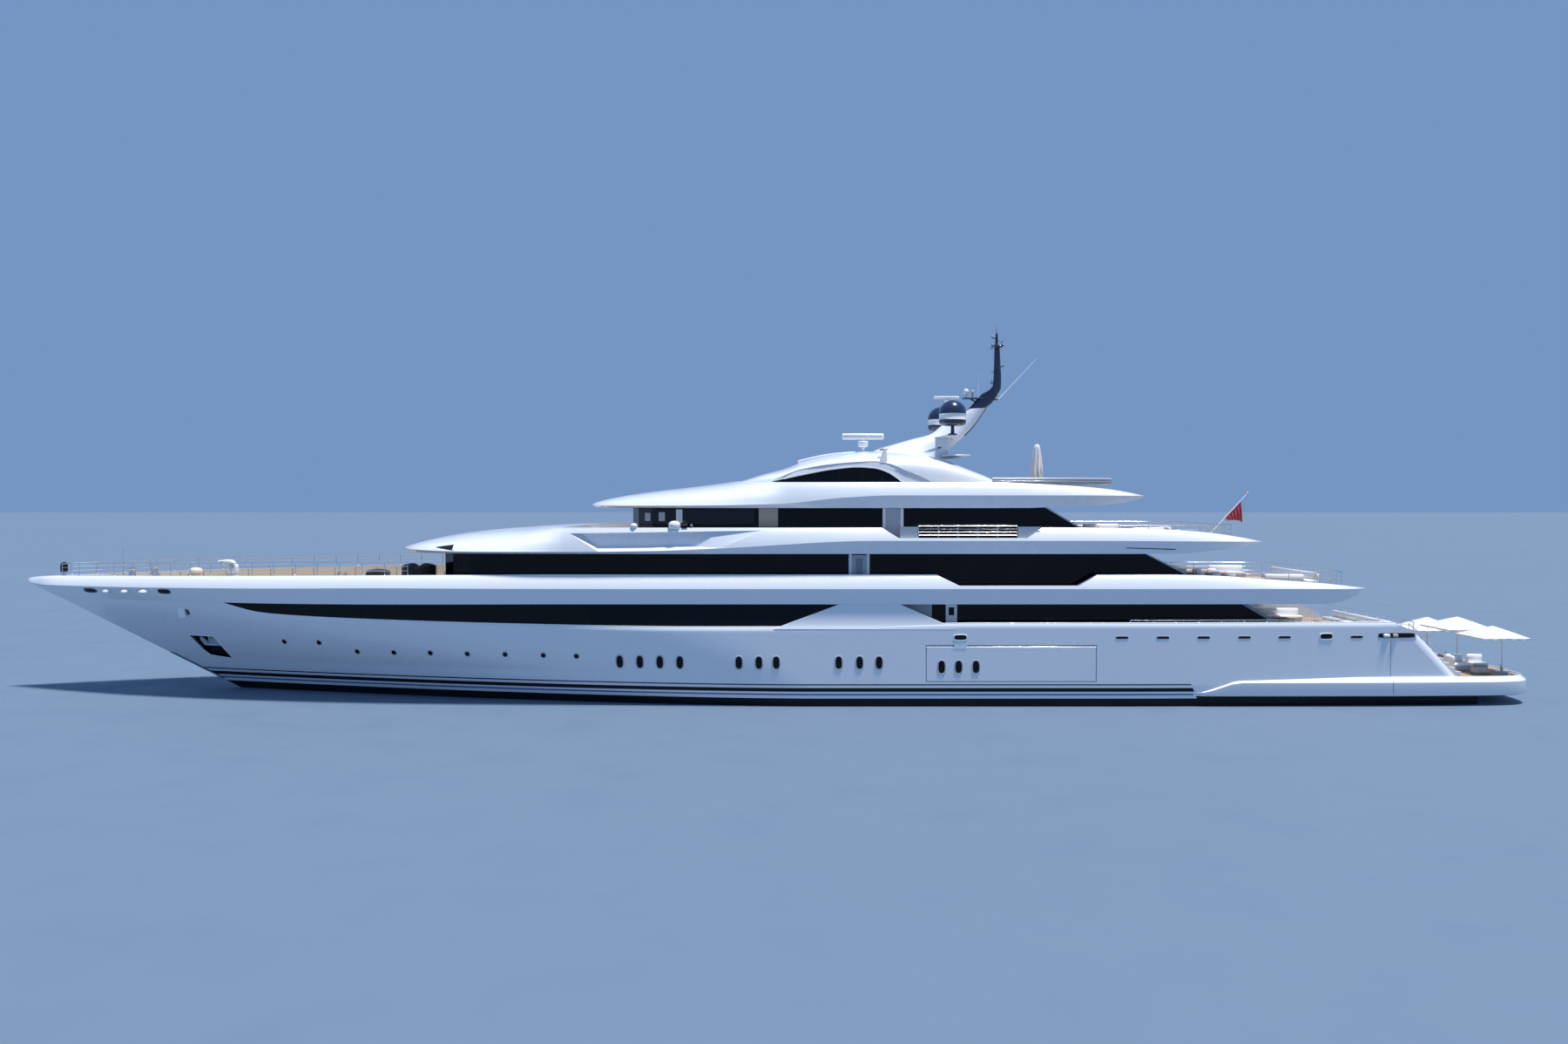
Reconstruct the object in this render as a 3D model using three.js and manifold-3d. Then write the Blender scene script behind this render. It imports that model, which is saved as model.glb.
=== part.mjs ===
// A 95 m motor yacht as a 1:10 model, in separate named pieces.
// Everything is drawn in real metres, and the yacht group's scale turns each into 100 mm of model.
// +X is forward, +Y is port and +Z is up. The origin is on the waterline, amidships, on the centreline.
import * as THREE from "three";
import { mergeVertices } from "three/addons/utils/BufferGeometryUtils.js";
import Module from "manifold-3d";

const MODEL_MM_PER_METRE = 100;
const GAP = 0.003; // 0.3 mm on the model, between pieces that rest on each other
const CLEARANCE = 0.05; // 5 mm on the model, round pieces that move

// Hull
const HALF_BEAM = 7.1;
const WIDE = 9; // half the width of a cut that goes right through
const KEEL_Z = -3.9;
const BOTTOM_Z = -3.75;
const STEM_FOOT_X = 33.6; // where the stem meets the water
const STEM_RUN = 1.987; // metres forward for each metre up: the raked stem is straight
const FOREFOOT_X = 24;
const RUN_START_X = -12; // the bottom rises aft of here
const TRANSOM_X = -44.5;
const TRANSOM_FOOT_Z = -0.7;
const CHINE_Z = 2; // a soft crease in the bow's flare
const PARALLEL_END_X = -22; // the topsides run straight from about amidships to here
const PLATFORM_Z = 1.66;
const PLATFORM_FRONT_X = -43.2;
const TRANSOM_WALL_X = -41.2;
const WELL_FRONT_X = -9; // the side decks begin here

// Decks
const MAIN_DECK_Z = 3.9;
const UPPER_DECK_Z = 6.85;
const BRIDGE_DECK_Z = 9.75;
const SUN_DECK_Z = 12.5;
const UPPER_SHELL_FOOT_Z = 6.14;
const BRIDGE_SHELL_FOOT_Z = 9.16;
const SUN_SHELL_FOOT_Z = 11.92;
const BULWARK = 0.72; // from the knuckle in to the bulwark's inner face

// Side door of the tender garage
const DOOR = { aft: -21.1, front: -10.95, foot: 1.55, top: 3.65, thick: 0.15 };
const DOOR_HINGE = {
  y: HALF_BEAM - 0.075,
  z: 3.575,
  pin: 0.045,
  pinEnd: 0.22,
  socket: 0.05,
  socketEnd: 0.26,
};

// Screws, rudders and fins
const SHAFT = { y: 3.2, z: -2.7, front: -22.5, screw: -37.5 };
const SCREW_RADIUS = 1.1;
const RUDDER = { x: -39.9, head: -1.75, foot: -3.55 };
const FIN = { x: 2, y: 5.6, z: -2.55, tilt: 35 };

// Mast and aerials
const MAST_X = -16.4;
const RADAR = { x: -7.6, y: 0, z: 16.32, length: 2.77 };
const MAST_RADAR = { x: -13.1, y: 0, z: 18.98, length: 1.7 };
const SATELLITE_DOME = { x: -13.1, y: 2.8, foot: 16.56 + GAP, radius: 0.86 };
const ENSIGN_STAFF = { foot: [-30.1, 9.65], head: [-33.05, 12.9], radius: 0.04, hoist: 1.7 };
const STERN_PARASOLS = [
  { name: "port", x: -46.2, y: 4.4, eaves: 3.95, apex: 4.65, width: 3.4, postAft: 0.8 },
  { name: "middle", x: -46.1, y: 0.6, eaves: 4.1, apex: 4.8, width: 3.4, postAft: 0 },
  { name: "starboard", x: -46.1, y: -3.2, eaves: 4.1, apex: 4.8, width: 3.4, postAft: 0 },
];
const DAVIT = { x: 32.9, y: 2.2, deck: UPPER_DECK_Z };

const SIDES = [
  ["port", 1],
  ["starboard", -1],
];

const wasm = await Module();
wasm.setup();

// Small mathematics

// The value at x of a table of [x, value] rows, straight between rows. The rows may run either way.
function along(table, x) {
  const rows = table[0][0] < table.at(-1)[0] ? table : [...table].reverse();
  if (x <= rows[0][0]) return rows[0][1];
  for (let i = 1; i < rows.length; i++) {
    const [x0, v0] = rows[i - 1];
    const [x1, v1] = rows[i];
    if (x <= x1) return v0 + ((v1 - v0) * (x - x0)) / (x1 - x0);
  }
  return rows.at(-1)[1];
}

const clamp01 = (t) => THREE.MathUtils.clamp(t, 0, 1);

// Solids

// A closed three.js geometry as a solid that can be joined and cut
function solid(geometry) {
  const bare = new THREE.BufferGeometry();
  bare.setAttribute("position", geometry.getAttribute("position"));
  if (geometry.index) bare.setIndex(geometry.index);
  const merged = mergeVertices(bare, 1e-5);
  const index = Array.from(merged.index.array);
  const faces = [];
  for (let i = 0; i < index.length; i += 3) {
    const [a, b, c] = index.slice(i, i + 3);
    if (a !== b && b !== c && a !== c) faces.push(a, b, c);
  }
  const mesh = new wasm.Mesh({
    numProp: 3,
    vertProperties: new Float32Array(merged.attributes.position.array),
    triVerts: new Uint32Array(faces),
  });
  return new wasm.Manifold(mesh);
}

// The solid as a three.js geometry
function geometryOf(manifold) {
  const mesh = manifold.getMesh();
  const geometry = new THREE.BufferGeometry();
  const stride = mesh.numProp;
  const position = new Float32Array(mesh.numVert * 3);
  for (let i = 0; i < mesh.numVert; i++) {
    position.set(mesh.vertProperties.subarray(i * stride, i * stride + 3), i * 3);
  }
  geometry.setAttribute("position", new THREE.BufferAttribute(position, 3));
  geometry.setIndex(new THREE.BufferAttribute(mesh.triVerts, 1));
  const flat = geometry.toNonIndexed();
  flat.computeVertexNormals();
  return flat;
}

// A solid through rings of equally many points. Each ring is seen whole from its own middle.
function loft(rings) {
  const count = rings[0].length;
  const points = rings.flat();
  const faces = [];
  const apart = (a, b) => points[a].distanceTo(points[b]) > 2e-5;
  const add = (a, b, c) => {
    if (apart(a, b) && apart(b, c) && apart(a, c)) faces.push(a, b, c);
  };
  for (let r = 0; r + 1 < rings.length; r++) {
    for (let k = 0; k < count; k++) {
      const next = (k + 1) % count;
      const [a, b] = [r * count + k, r * count + next];
      const [c, d] = [b + count, a + count];
      if (k < count / 2) {
        add(a, b, c);
        add(a, c, d);
      } else {
        add(a, b, d);
        add(b, c, d);
      }
    }
  }
  const last = rings.length - 1;
  for (const r of [0, last]) {
    const box = new THREE.Box3().setFromPoints(rings[r]);
    if (box.getSize(new THREE.Vector3()).length() < 1e-3) continue;
    points.push(box.getCenter(new THREE.Vector3()));
    for (let k = 0; k < count; k++) {
      const [a, b] = [r * count + k, r * count + ((k + 1) % count)];
      if (r === 0) add(b, a, points.length - 1);
      else add(a, b, points.length - 1);
    }
  }
  const geometry = new THREE.BufferGeometry().setFromPoints(points);
  geometry.setIndex(faces);
  const made = solid(geometry);
  if (made.volume() > 0) return made;
  for (let i = 0; i < faces.length; i += 3) faces.splice(i, 2, faces[i + 1], faces[i]);
  geometry.setIndex(faces);
  return solid(geometry);
}

// A solid through cross-sections along X. half(x) gives [y, z] rows from the centreline's foot to its top.
function stationLoft(stations, half) {
  return loft(
    stations.map((x) => {
      const rows = half(x);
      const port = rows.map(([y, z]) => new THREE.Vector3(x, y, z));
      const starboard = rows.slice(1, -1).reverse();
      return [...port, ...starboard.map(([y, z]) => new THREE.Vector3(x, -y, z))];
    }),
  );
}

function box([x0, x1], [y0, y1], [z0, z1]) {
  const geometry = new THREE.BoxGeometry(x1 - x0, y1 - y0, z1 - z0);
  geometry.translate((x0 + x1) / 2, (y0 + y1) / 2, (z0 + z1) / 2);
  return solid(geometry);
}

function extruded(rows, depth) {
  const shape = new THREE.Shape(rows.map(([a, b]) => new THREE.Vector2(a, b)));
  return new THREE.ExtrudeGeometry(shape, { depth, bevelEnabled: false, curveSegments: 6 });
}

// An outline of [x, z] rows, from y0 to y1
function sideProfile(rows, y0, y1) {
  const geometry = extruded(rows, y1 - y0);
  geometry.rotateX(Math.PI / 2);
  geometry.translate(0, y1, 0);
  return solid(geometry);
}

// An outline of [x, y] rows, from z0 to z1
function planProfile(rows, z0, z1) {
  const geometry = extruded(rows, z1 - z0);
  geometry.translate(0, 0, z0);
  return solid(geometry);
}

// A cylinder or cone between two points
function rod(from, to, r0, r1 = r0, sides = 8) {
  const [a, b] = [new THREE.Vector3(...from), new THREE.Vector3(...to)];
  const geometry = new THREE.CylinderGeometry(r1, r0, a.distanceTo(b), sides);
  const direction = b.clone().sub(a).normalize();
  const turn = new THREE.Quaternion().setFromUnitVectors(new THREE.Vector3(0, 1, 0), direction);
  geometry.applyQuaternion(turn);
  geometry.translate(...a.add(b).multiplyScalar(0.5).toArray());
  return solid(geometry);
}

// A solid of revolution about a vertical axis, from [radius, z] rows that start and end on the axis
function turned(rows, x, y, segments = 12) {
  const geometry = new THREE.LatheGeometry(rows.map(([r, z]) => new THREE.Vector2(r, z)), segments);
  geometry.rotateX(Math.PI / 2);
  geometry.translate(x, y, 0);
  return solid(geometry);
}

const join = (pieces) => pieces.reduce((all, piece) => all.add(piece));
const cut = (body, ...tools) => tools.reduce((left, tool) => left.subtract(tool), body);

// Cuts a piece back to GAP below, above or beside the body that it meets
const fitTo = (piece, body, dx, dy, dz) =>
  cut(piece, body, body.translate(dx * GAP, dy * GAP, dz * GAP));

// A polygon moved in by a distance, all round
function inset(rows, distance) {
  return rows.map(([x, y], i) => {
    const [px, py] = rows.at(i - 1);
    const [nx, ny] = rows[(i + 1) % rows.length];
    const before = new THREE.Vector2(x - px, y - py).normalize();
    const after = new THREE.Vector2(nx - x, ny - y).normalize();
    const mitre = new THREE.Vector2(-before.y - after.y, before.x + after.x);
    const length = distance / (1 + before.dot(after));
    return [x + mitre.x * length, y + mitre.y * length];
  });
}

// The whole outline from its port half of [x, y] rows, which runs from the bow end to the stern end
function bothSides(half) {
  const starboard = half.filter(([, y]) => y > 0).map(([x, y]) => [x, -y]);
  return [...half, ...starboard.reverse()];
}

// Hull form

function stemX(z) {
  if (z >= 0) return STEM_FOOT_X + z * STEM_RUN;
  return FOREFOOT_X + (STEM_FOOT_X - FOREFOOT_X) * Math.sqrt(Math.max(0, 1 - (z / BOTTOM_Z) ** 2));
}

function keelZ(x) {
  if (x >= STEM_FOOT_X) return (x - STEM_FOOT_X) / STEM_RUN;
  if (x >= FOREFOOT_X) {
    return BOTTOM_Z * Math.sqrt(1 - ((x - FOREFOOT_X) / (STEM_FOOT_X - FOREFOOT_X)) ** 2);
  }
  if (x >= RUN_START_X) return BOTTOM_Z;
  const rise = clamp01((RUN_START_X - x) / (RUN_START_X - TRANSOM_X));
  return BOTTOM_Z + (TRANSOM_FOOT_Z - BOTTOM_Z) * rise ** 1.3;
}

// Half-breadth of the topsides
function sideY(x, z) {
  const widest = HALF_BEAM - 0.2 * clamp01(1 - z / 1.4) ** 2;
  const entry = 38.6 + 0.9 * z;
  const flare = 1.5 + 0.05 * Math.min(z, CHINE_Z) + 0.235 * Math.max(0, z - CHINE_Z);
  const forward = 1 - (1 - clamp01((stemX(z) - x) / entry)) ** flare;
  const aft = 1 - 0.1 * clamp01((PARALLEL_END_X - x) / (PARALLEL_END_X + 45)) ** 1.6;
  return widest * forward * aft;
}

// Half-breadth of the bottom: full amidships, a sharp V forward and a flat V aft
function bottomY(x, z) {
  const foot = keelZ(x);
  if (foot >= 0) return 0;
  const share = clamp01((z - foot) / -foot);
  const bilge = along([[-44, 2.2], [-10, 2.6], [8, 2.4], [22, 1.5], [33, 1.2]], x);
  const floor = along([[-44, 1.7], [-10, 2.4], [8, 2.1], [22, 1.3], [33, 1.1]], x);
  return sideY(x, 0) * (1 - (1 - share) ** bilge) ** (1 / floor);
}

// Top edge of the white topsides: it rises forward of the long window
const HULL_TOP = [
  [-45, 4.9],
  [3, 4.86],
  [12, 4.95],
  [24, 5.13],
  [28.4, 5.27],
  [30.8, 5.42],
  [32, 5.7],
  [32.8, 6],
  [46, 6],
];
const UPPER_SHELL_FOOT = [
  [-37.9, 7.03],
  [-36.5, 6.34],
  [-35.5, UPPER_SHELL_FOOT_Z],
  [10, UPPER_SHELL_FOOT_Z],
  [32.8, 6 + GAP],
  [46, 6 + GAP],
];

function hullSection(x) {
  const foot = keelZ(x);
  const top = along(HULL_TOP, x);
  const below = [0, 0.03, 0.1, 0.22, 0.4, 0.62, 0.85].map((share) => {
    const z = foot < 0 ? foot * (1 - share) : foot;
    return [bottomY(x, z), z];
  });
  const above = [0, 0.7, 1.4, CHINE_Z, 3, 4, 4.9].map((level) => {
    const z = THREE.MathUtils.clamp(level, foot, top);
    return [z > foot || foot < 0 ? sideY(x, z) : 0, z];
  });
  return [...below, ...above, [foot < top ? sideY(x, top) : 0, top], [0, top]];
}

function hullPiece() {
  const tip = stemX(6);
  const stations = [
    -44.5, -42, -39, -36, -33, -30, -27, -24.5, -22, -17, -12, -7, -3, 0, 3, 6, 9, 12, 15, 18, 20.5,
    22.5, 24, 25.5, 27, 28.4, 29.6, 30.8, 32, 32.8, STEM_FOOT_X, 35, 37, 39, 41, 43, 44.4, tip,
  ];
  let hull = stationLoft(stations, hullSection);
  // Bulb, keel bar and skeg
  const bulb = new THREE.SphereGeometry(1, 16, 10);
  bulb.rotateZ(-Math.PI / 2);
  bulb.scale(6, 0.95, 1.15);
  bulb.translate(30.2, 0, -2.35);
  const keel = [
    [21, BOTTOM_Z + 0.3],
    [-12, BOTTOM_Z + 0.3],
    [-35, -1.6],
    [-36.5, -1.9],
    [-33, KEEL_Z],
    [20, KEEL_Z],
  ];
  hull = join([hull, solid(bulb), sideProfile(keel, -0.25, 0.25)]);
  // Ledge along each quarter, which runs into the swim platform
  const ledgeTop = [[-27, 0.9], [-28.2, 1.38], [-29.3, 1.68], [-30, 1.74], [-45, 1.74]];
  const ledge = (x) => {
    const y = along([[-27, 7], [-29.3, 7.08], [-38, 7.02], [-43.2, 6.85]], x);
    const top = along(ledgeTop, x);
    return [[0, 0.72], [y - 0.12, 0.72], [y, 0.86], [y, top - 0.08], [y - 0.08, top], [0, top]];
  };
  hull = hull.add(stationLoft([-43.2, -41, -38, -33, -30, -29.3, -28.2, -27], ledge));
  // Side decks and aft deck inside the bulwarks
  const well = (x) => {
    const y = sideY(x, 4.9) - 0.25;
    return [[0, MAIN_DECK_Z], [y, MAIN_DECK_Z], [y, 5.4], [0, 5.4]];
  };
  hull = cut(hull, stationLoft([-45, -42, -39, -36, -33, -30, -27, -24.5, -22, WELL_FRONT_X], well));
  // Stern: the sides slope down to the platform, and the transom stands between them
  const sternSlope = [
    [-39.2, 4.9],
    [-40.7, 4.15],
    [PLATFORM_FRONT_X, 1.75],
    [PLATFORM_FRONT_X, 0.68],
    [-50, 0.68],
    [-50, 6],
    [-39.2, 6],
  ];
  const bay = box([-50, TRANSOM_WALL_X], [-5.95, 5.95], [PLATFORM_Z, 6]);
  hull = cut(hull, sideProfile(sternSlope, -WIDE, WIDE), bay);
  // Tender garage from side to side, with a socket at each end of each door's hinge
  const room = [
    [DOOR.aft - CLEARANCE, DOOR.front + CLEARANCE],
    [-WIDE, WIDE],
    [DOOR.foot - CLEARANCE, DOOR.top + 0.06],
  ];
  hull = hull.subtract(box(...room));
  for (const [, side] of SIDES) {
    const at = [side * DOOR_HINGE.y, DOOR_HINGE.z];
    const { socket, socketEnd } = DOOR_HINGE;
    const [from, to] = [[DOOR.aft - socketEnd, ...at], [DOOR.front + socketEnd, ...at]];
    hull = hull.subtract(rod(from, to, socket, socket, 16));
  }
  return hull;
}

function garageDoor(side) {
  const [inner, outer] = [HALF_BEAM - DOOR.thick, HALF_BEAM];
  const bevel = 0.04;
  const rows = [
    [inner, DOOR.foot],
    [outer, DOOR.foot],
    [outer, DOOR.top - bevel],
    [outer - bevel, DOOR.top],
    [inner + bevel, DOOR.top],
    [inner, DOOR.top - bevel],
  ];
  const ring = (x) => rows.map(([y, z]) => new THREE.Vector3(x, side * y, z));
  const panel = loft([ring(DOOR.aft), ring(DOOR.front)]);
  const at = [side * DOOR_HINGE.y, DOOR_HINGE.z];
  const { pin, pinEnd } = DOOR_HINGE;
  return panel.add(rod([DOOR.aft - pinEnd, ...at], [DOOR.front + pinEnd, ...at], pin, pin, 16));
}

function swimPlatform() {
  const plan = bothSides([
    [PLATFORM_FRONT_X - GAP, 6.85],
    [-45.4, 6.7],
    [-46.6, 6.4],
    [-47.2, 5.9],
    [-47.45, 5.2],
  ]);
  return planProfile(plan, 0.68 + GAP, PLATFORM_Z);
}

// A flight from the main deck down to the swim platform
function sternStairs(side) {
  const steps = 7;
  const rise = (MAIN_DECK_Z - PLATFORM_Z) / (steps + 1);
  const going = 0.36;
  const rows = [[TRANSOM_WALL_X - GAP, PLATFORM_Z + GAP]];
  for (let i = 0; i < steps; i++) {
    const x = TRANSOM_WALL_X - GAP - (steps - i) * going;
    rows.push([x, PLATFORM_Z + GAP + i * rise], [x, PLATFORM_Z + (i + 1) * rise]);
  }
  rows.push([TRANSOM_WALL_X - GAP, MAIN_DECK_Z - rise]);
  rows.splice(1, 1, [TRANSOM_WALL_X - GAP - steps * going, PLATFORM_Z + GAP]);
  return sideProfile(rows, side > 0 ? 4.3 : -5.9, side > 0 ? 5.9 : -4.3);
}

// Superstructure shells: each is a deck slab with its bulwarks, closed by a brow at the front

// The section of a shell. form gives the foot, knuckle, top and half-breadth at x, the lower face's slope,
// and how crowned the upper face is.
function shellSection(form, x) {
  const [foot, knuckle, top, y] = ["foot", "knuckle", "top", "y"].map((key) => form[key](x));
  const crown = form.crown(x);
  const rise = top - knuckle;
  const boxy = [[y - 0.08, 0.25], [y - 0.28, 0.7], [y - 0.5, 1]];
  const round = [[0.93 * y, 0.35], [0.78 * y, 0.62], [0.5 * y, 0.87]];
  const lower = Math.max(0, y - form.slope(x));
  const upper = boxy.map(([by, bz], i) => {
    const [ry, rz] = round[i];
    return [Math.max(0, by + (ry - by) * crown), knuckle + rise * (bz + (rz - bz) * crown)];
  });
  return [[0, foot], [lower, foot], [y, knuckle], ...upper, [0, top]];
}

// The space inside the bulwarks, above the deck
function trayCut(form, stations, deck) {
  return stationLoft(stations, (x) => {
    const y = Math.max(0.2, form.y(x) - BULWARK);
    return [[0, deck], [y, deck], [y, deck + 3], [0, deck + 3]];
  });
}

const table = (rows) => (x) => along(rows, x);

const UPPER_TOP = [
  [-37.9, 7.04],
  [-35.4, 7.33],
  [-32.3, 7.56],
  [-28.3, 7.84],
  [-25, 7.92],
  [10, 7.92],
  [20, 7.84],
  [31, 7.7],
  [46, 7.44],
  [47.1, 7.28],
  [47.5, 7.04],
];
const upperForm = {
  foot: (x) => (x > 47.4 ? 7.02 : Math.max(along(UPPER_SHELL_FOOT, x), keelZ(x))),
  knuckle: table([
    [-37.9, 7.035], [-30, 7.08], [20, 7.08], [32, 6.95], [46, 6.8], [47.1, 6.9], [47.5, 7.03],
  ]),
  top: table(UPPER_TOP),
  y: (x) => {
    if (x > 47) return x > 47.4 ? 0 : 0.26;
    const corner = along([[-37.9, 0.86], [-37.3, 0.93], [-36, 0.975], [-33, 1]], x);
    return sideY(x, 7.08) * corner;
  },
  slope: table([[-37.9, 0.05], [-36, 0.27], [20, 0.27], [33, 0.3], [40, 0.35], [45, 0.3], [46.5, 0.2]]),
  crown: () => 0,
};

function upperDeckShell() {
  const stations = [
    -37.9, -37.3, -36.5, -35.5, -34, -32.3, -30, -28.3, -25, -22, -10, 0, 4, 7, 10, 13, 16, 19, 22,
    25, 28, 30.5, 33, 35.5, 38, 40, 42, 43.5, 45, 46, 47.1, 47.5,
  ];
  const form = { ...upperForm };
  // Forward, the shell's lower face is the hull's own flare
  form.slope = (x) => {
    const flare = Math.max(0.02, upperForm.y(x) - sideY(x, upperForm.foot(x)));
    const share = clamp01((x - 8) / 24);
    return upperForm.slope(Math.min(x, 8)) * (1 - share) + flare * share;
  };
  let shell = stationLoft(stations, (x) => shellSection(form, x));
  const inside = [
    -38.5, -37.3, -36, -33, -30, -25, -22, 0, 4, 7, 10, 13, 16, 19, 22, 25, 28, 30.5, 33, 35.5, 38, 40, 42,
    43.5,
  ];
  shell = shell.subtract(trayCut(upperForm, inside, UPPER_DECK_Z));
  // The bulwark steps down beside the saloon
  const step = [[-11.57, 7.92], [-12.96, 7.26], [-20.06, 7.26], [-21.05, 7.92], [-21.05, 8.5], [-11.57, 8.5]];
  return shell.subtract(sideProfile(step, -WIDE, WIDE));
}

const bridgeForm = {
  foot: table([
    [-31.6, 9.88], [-30.7, 9.66], [-28.5, 9.34], [-26, BRIDGE_SHELL_FOOT_Z], [20, BRIDGE_SHELL_FOOT_Z],
    [21.5, 9.22], [22.3, 9.3],
  ]),
  knuckle: table([
    [-31.6, 9.885], [-20, 9.96], [-8, 9.96], [1.5, 9.5], [4, 9.38], [10, 9.3], [16, 9.29], [22, 9.34],
    [22.3, 9.31],
  ]),
  top: table([
    [-31.6, 9.89], [-30.6, 10.08], [-27.4, 10.5], [-24.4, 10.66], [-18, 10.74], [12, 10.74], [14.9, 10.6],
    [17.5, 10.38], [19.2, 10.14], [20.5, 9.88], [21.5, 9.62], [22.1, 9.42], [22.3, 9.32],
  ]),
  y: table([
    [-31.6, 5.7], [-31, 6.1], [-30, 6.4], [-26, 6.75], [-20, 6.9], [8, 6.9], [12, 6.82], [15, 6.6],
    [17.5, 6.2], [19, 5.6], [20.5, 4.5], [21.5, 3.1], [22.1, 1.6], [22.3, 0],
  ]),
  slope: table([[-31.6, 0.05], [-29, 0.3], [-8, 0.35], [4, 0.25], [16, 0.3], [22, 0.2], [22.3, 0]]),
  crown: table([[10.5, 0], [13.5, 1]]),
};

function bridgeDeckShell() {
  const stations = [
    -31.6, -31, -30, -28.5, -27.4, -26, -24.4, -20, -8, -3, 1.5, 4, 8, 10.5, 12, 13.5, 15, 16.5, 17.5, 18.3,
    19.2, 20, 20.8, 21.5, 22.1, 22.3,
  ];
  let shell = stationLoft(stations, (x) => shellSection(bridgeForm, x));
  shell = shell.subtract(trayCut(bridgeForm, [-32.5, -31, -30, -26, -20, 8, 10.9], BRIDGE_DECK_Z));
  const step = [[-8.3, 10.74], [-9.3, 10.12], [-17, 10.12], [-18, 10.74], [-18, 11.5], [-8.3, 11.5]];
  shell = shell.subtract(sideProfile(step, -WIDE, WIDE));
  // A long scoop in each side: slanted forward, and fading out aft
  for (const [, side] of SIDES) {
    const ring = (rows, y) => rows.map(([x, z]) => new THREE.Vector3(x, side * y, z));
    const mouth = ring([[-1.9, 10.6], [10.7, 10.5], [8.75, 9.05], [1.5, 9.05]], 6.95);
    const back = ring([[3.6, 10.45], [10.35, 10.42], [8.9, 9.05], [4.9, 9.05]], 6.38);
    const outside = mouth.map(({ x, z }) => new THREE.Vector3(x, side * 8, z));
    shell = shell.subtract(loft([back, mouth, outside]));
  }
  return shell;
}

const sunForm = {
  foot: table([
    [-24.3, 12.64], [-23.35, 12.38], [-21.7, 12.16], [-18.3, 11.98], [-15, SUN_SHELL_FOOT_Z],
    [8.5, SUN_SHELL_FOOT_Z], [9.8, 11.98], [10.3, 12.07],
  ]),
  knuckle: table([
    [-24.3, 12.65], [-20, 12.69], [-9, 12.69], [-6, 12.55], [-2.4, 12.2], [2, 12.08], [8, 12.05], [10, 12.07],
    [10.3, 12.08],
  ]),
  top: table([
    [-24.3, 12.66], [-21.7, 13.08], [-18.3, 13.37], [-15, 13.48], [0.6, 13.5], [2.06, 13.45], [4, 13.26],
    [5.9, 13.06], [7.8, 12.76], [9.2, 12.45], [10, 12.22], [10.3, 12.09],
  ]),
  y: table([
    [-24.3, 4.8], [-23.5, 5.3], [-21, 5.8], [-17, 6.1], [-2, 6.1], [2, 5.9], [5, 5.35], [7.5, 4.35], [9, 3.2],
    [9.9, 1.8], [10.3, 0],
  ]),
  slope: table([[-24.3, 0.05], [-22, 0.3], [-6, 0.3], [0, 0.2], [8, 0.25], [10.3, 0]]),
  crown: table([[-3, 0], [1, 1]]),
};

function sunDeckShell() {
  const stations = [
    -24.3, -23.35, -22.5, -21.7, -20, -18.3, -17, -15, -9, -6, -3, -1, 0.6, 2.06, 4, 5.9, 7, 7.8, 8.6, 9.2,
    9.6, 10, 10.3,
  ];
  const shell = stationLoft(stations, (x) => shellSection(sunForm, x));
  return shell.subtract(trayCut(sunForm, [-25, -23.35, -21, -17, -2, 0.3], SUN_DECK_Z));
}

// Deckhouses

// Dark glass from the hull's edge to the upper deck, with a narrower house aft between the side decks
function mainDeckHouse() {
  const stations = [WELL_FRONT_X, -3, 3, 6, 9, 12, 15, 18, 20.5, 24, 27, 28.4, 29.6, 30.8, 32, 32.5];
  const forward = stationLoft(stations, (x) => {
    const foot = along(HULL_TOP, x) + GAP;
    const top = along(UPPER_SHELL_FOOT, x) - GAP;
    const low = sideY(x, foot) - 0.12;
    const high = Math.min(low, sideY(x, top) - 0.32 + 0.12 * clamp01((x - 8) / 24));
    return [[0, foot], [low, foot], [high, top], [0, top]];
  });
  const side = [
    [WELL_FRONT_X - GAP, MAIN_DECK_Z + GAP],
    [WELL_FRONT_X - GAP, UPPER_SHELL_FOOT_Z - GAP],
    [-30.5, UPPER_SHELL_FOOT_Z - GAP],
    [-32.1, 5.2],
    [-32.1, MAIN_DECK_Z + GAP],
  ];
  const aft = sideProfile(side, -5.95, 5.95);
  const link = box([WELL_FRONT_X - 0.1, WELL_FRONT_X + 0.5], [-5.9, 5.9], [5.2, 6]);
  return join([forward, aft, link]);
}

// The slanted plate that ties the hull's side to the upper deck
function sideWing(side) {
  const head = UPPER_SHELL_FOOT_Z - GAP;
  const rows = [[-12.6, 4.9 + GAP], [-1.9, 4.88 + GAP], [-5.7, head], [-9.4, head]];
  const at = (y0, y1) => rows.map(([x, z], i) => new THREE.Vector3(x, side * (i < 2 ? y0 : y1), z));
  return loft([at(HALF_BEAM - 0.1, 6.8), at(HALF_BEAM, 6.86)]);
}

function upperDeckHouse() {
  const plan = bothSides([
    [19.6, 0], [19.4, 2], [18.9, 3.6], [18.1, 4.7], [16.8, 5.4], [15, 5.75], [-27, 5.75],
  ]);
  const side = [
    [20, UPPER_DECK_Z + GAP],
    [20, BRIDGE_SHELL_FOOT_Z - GAP],
    [-24.1, BRIDGE_SHELL_FOOT_Z - GAP],
    [-26.85, 7.9],
    [-26.85, UPPER_DECK_Z + GAP],
  ];
  return planProfile(plan, 6, 10).intersect(sideProfile(side, -7, 7));
}

// Bridge deck house, with a hollow wheelhouse behind wrap-round windows
const BRIDGE_PLAN = [[7.5, 0], [7.35, 1.6], [6.8, 3.1], [5.8, 4.4], [4.2, 5.1], [2, 5.3], [-21, 5.3]];
const WHEELHOUSE = { aft: -0.6, sill: 10.9, head: 11.86, glass: 0.08, wall: 0.22 };

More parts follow.
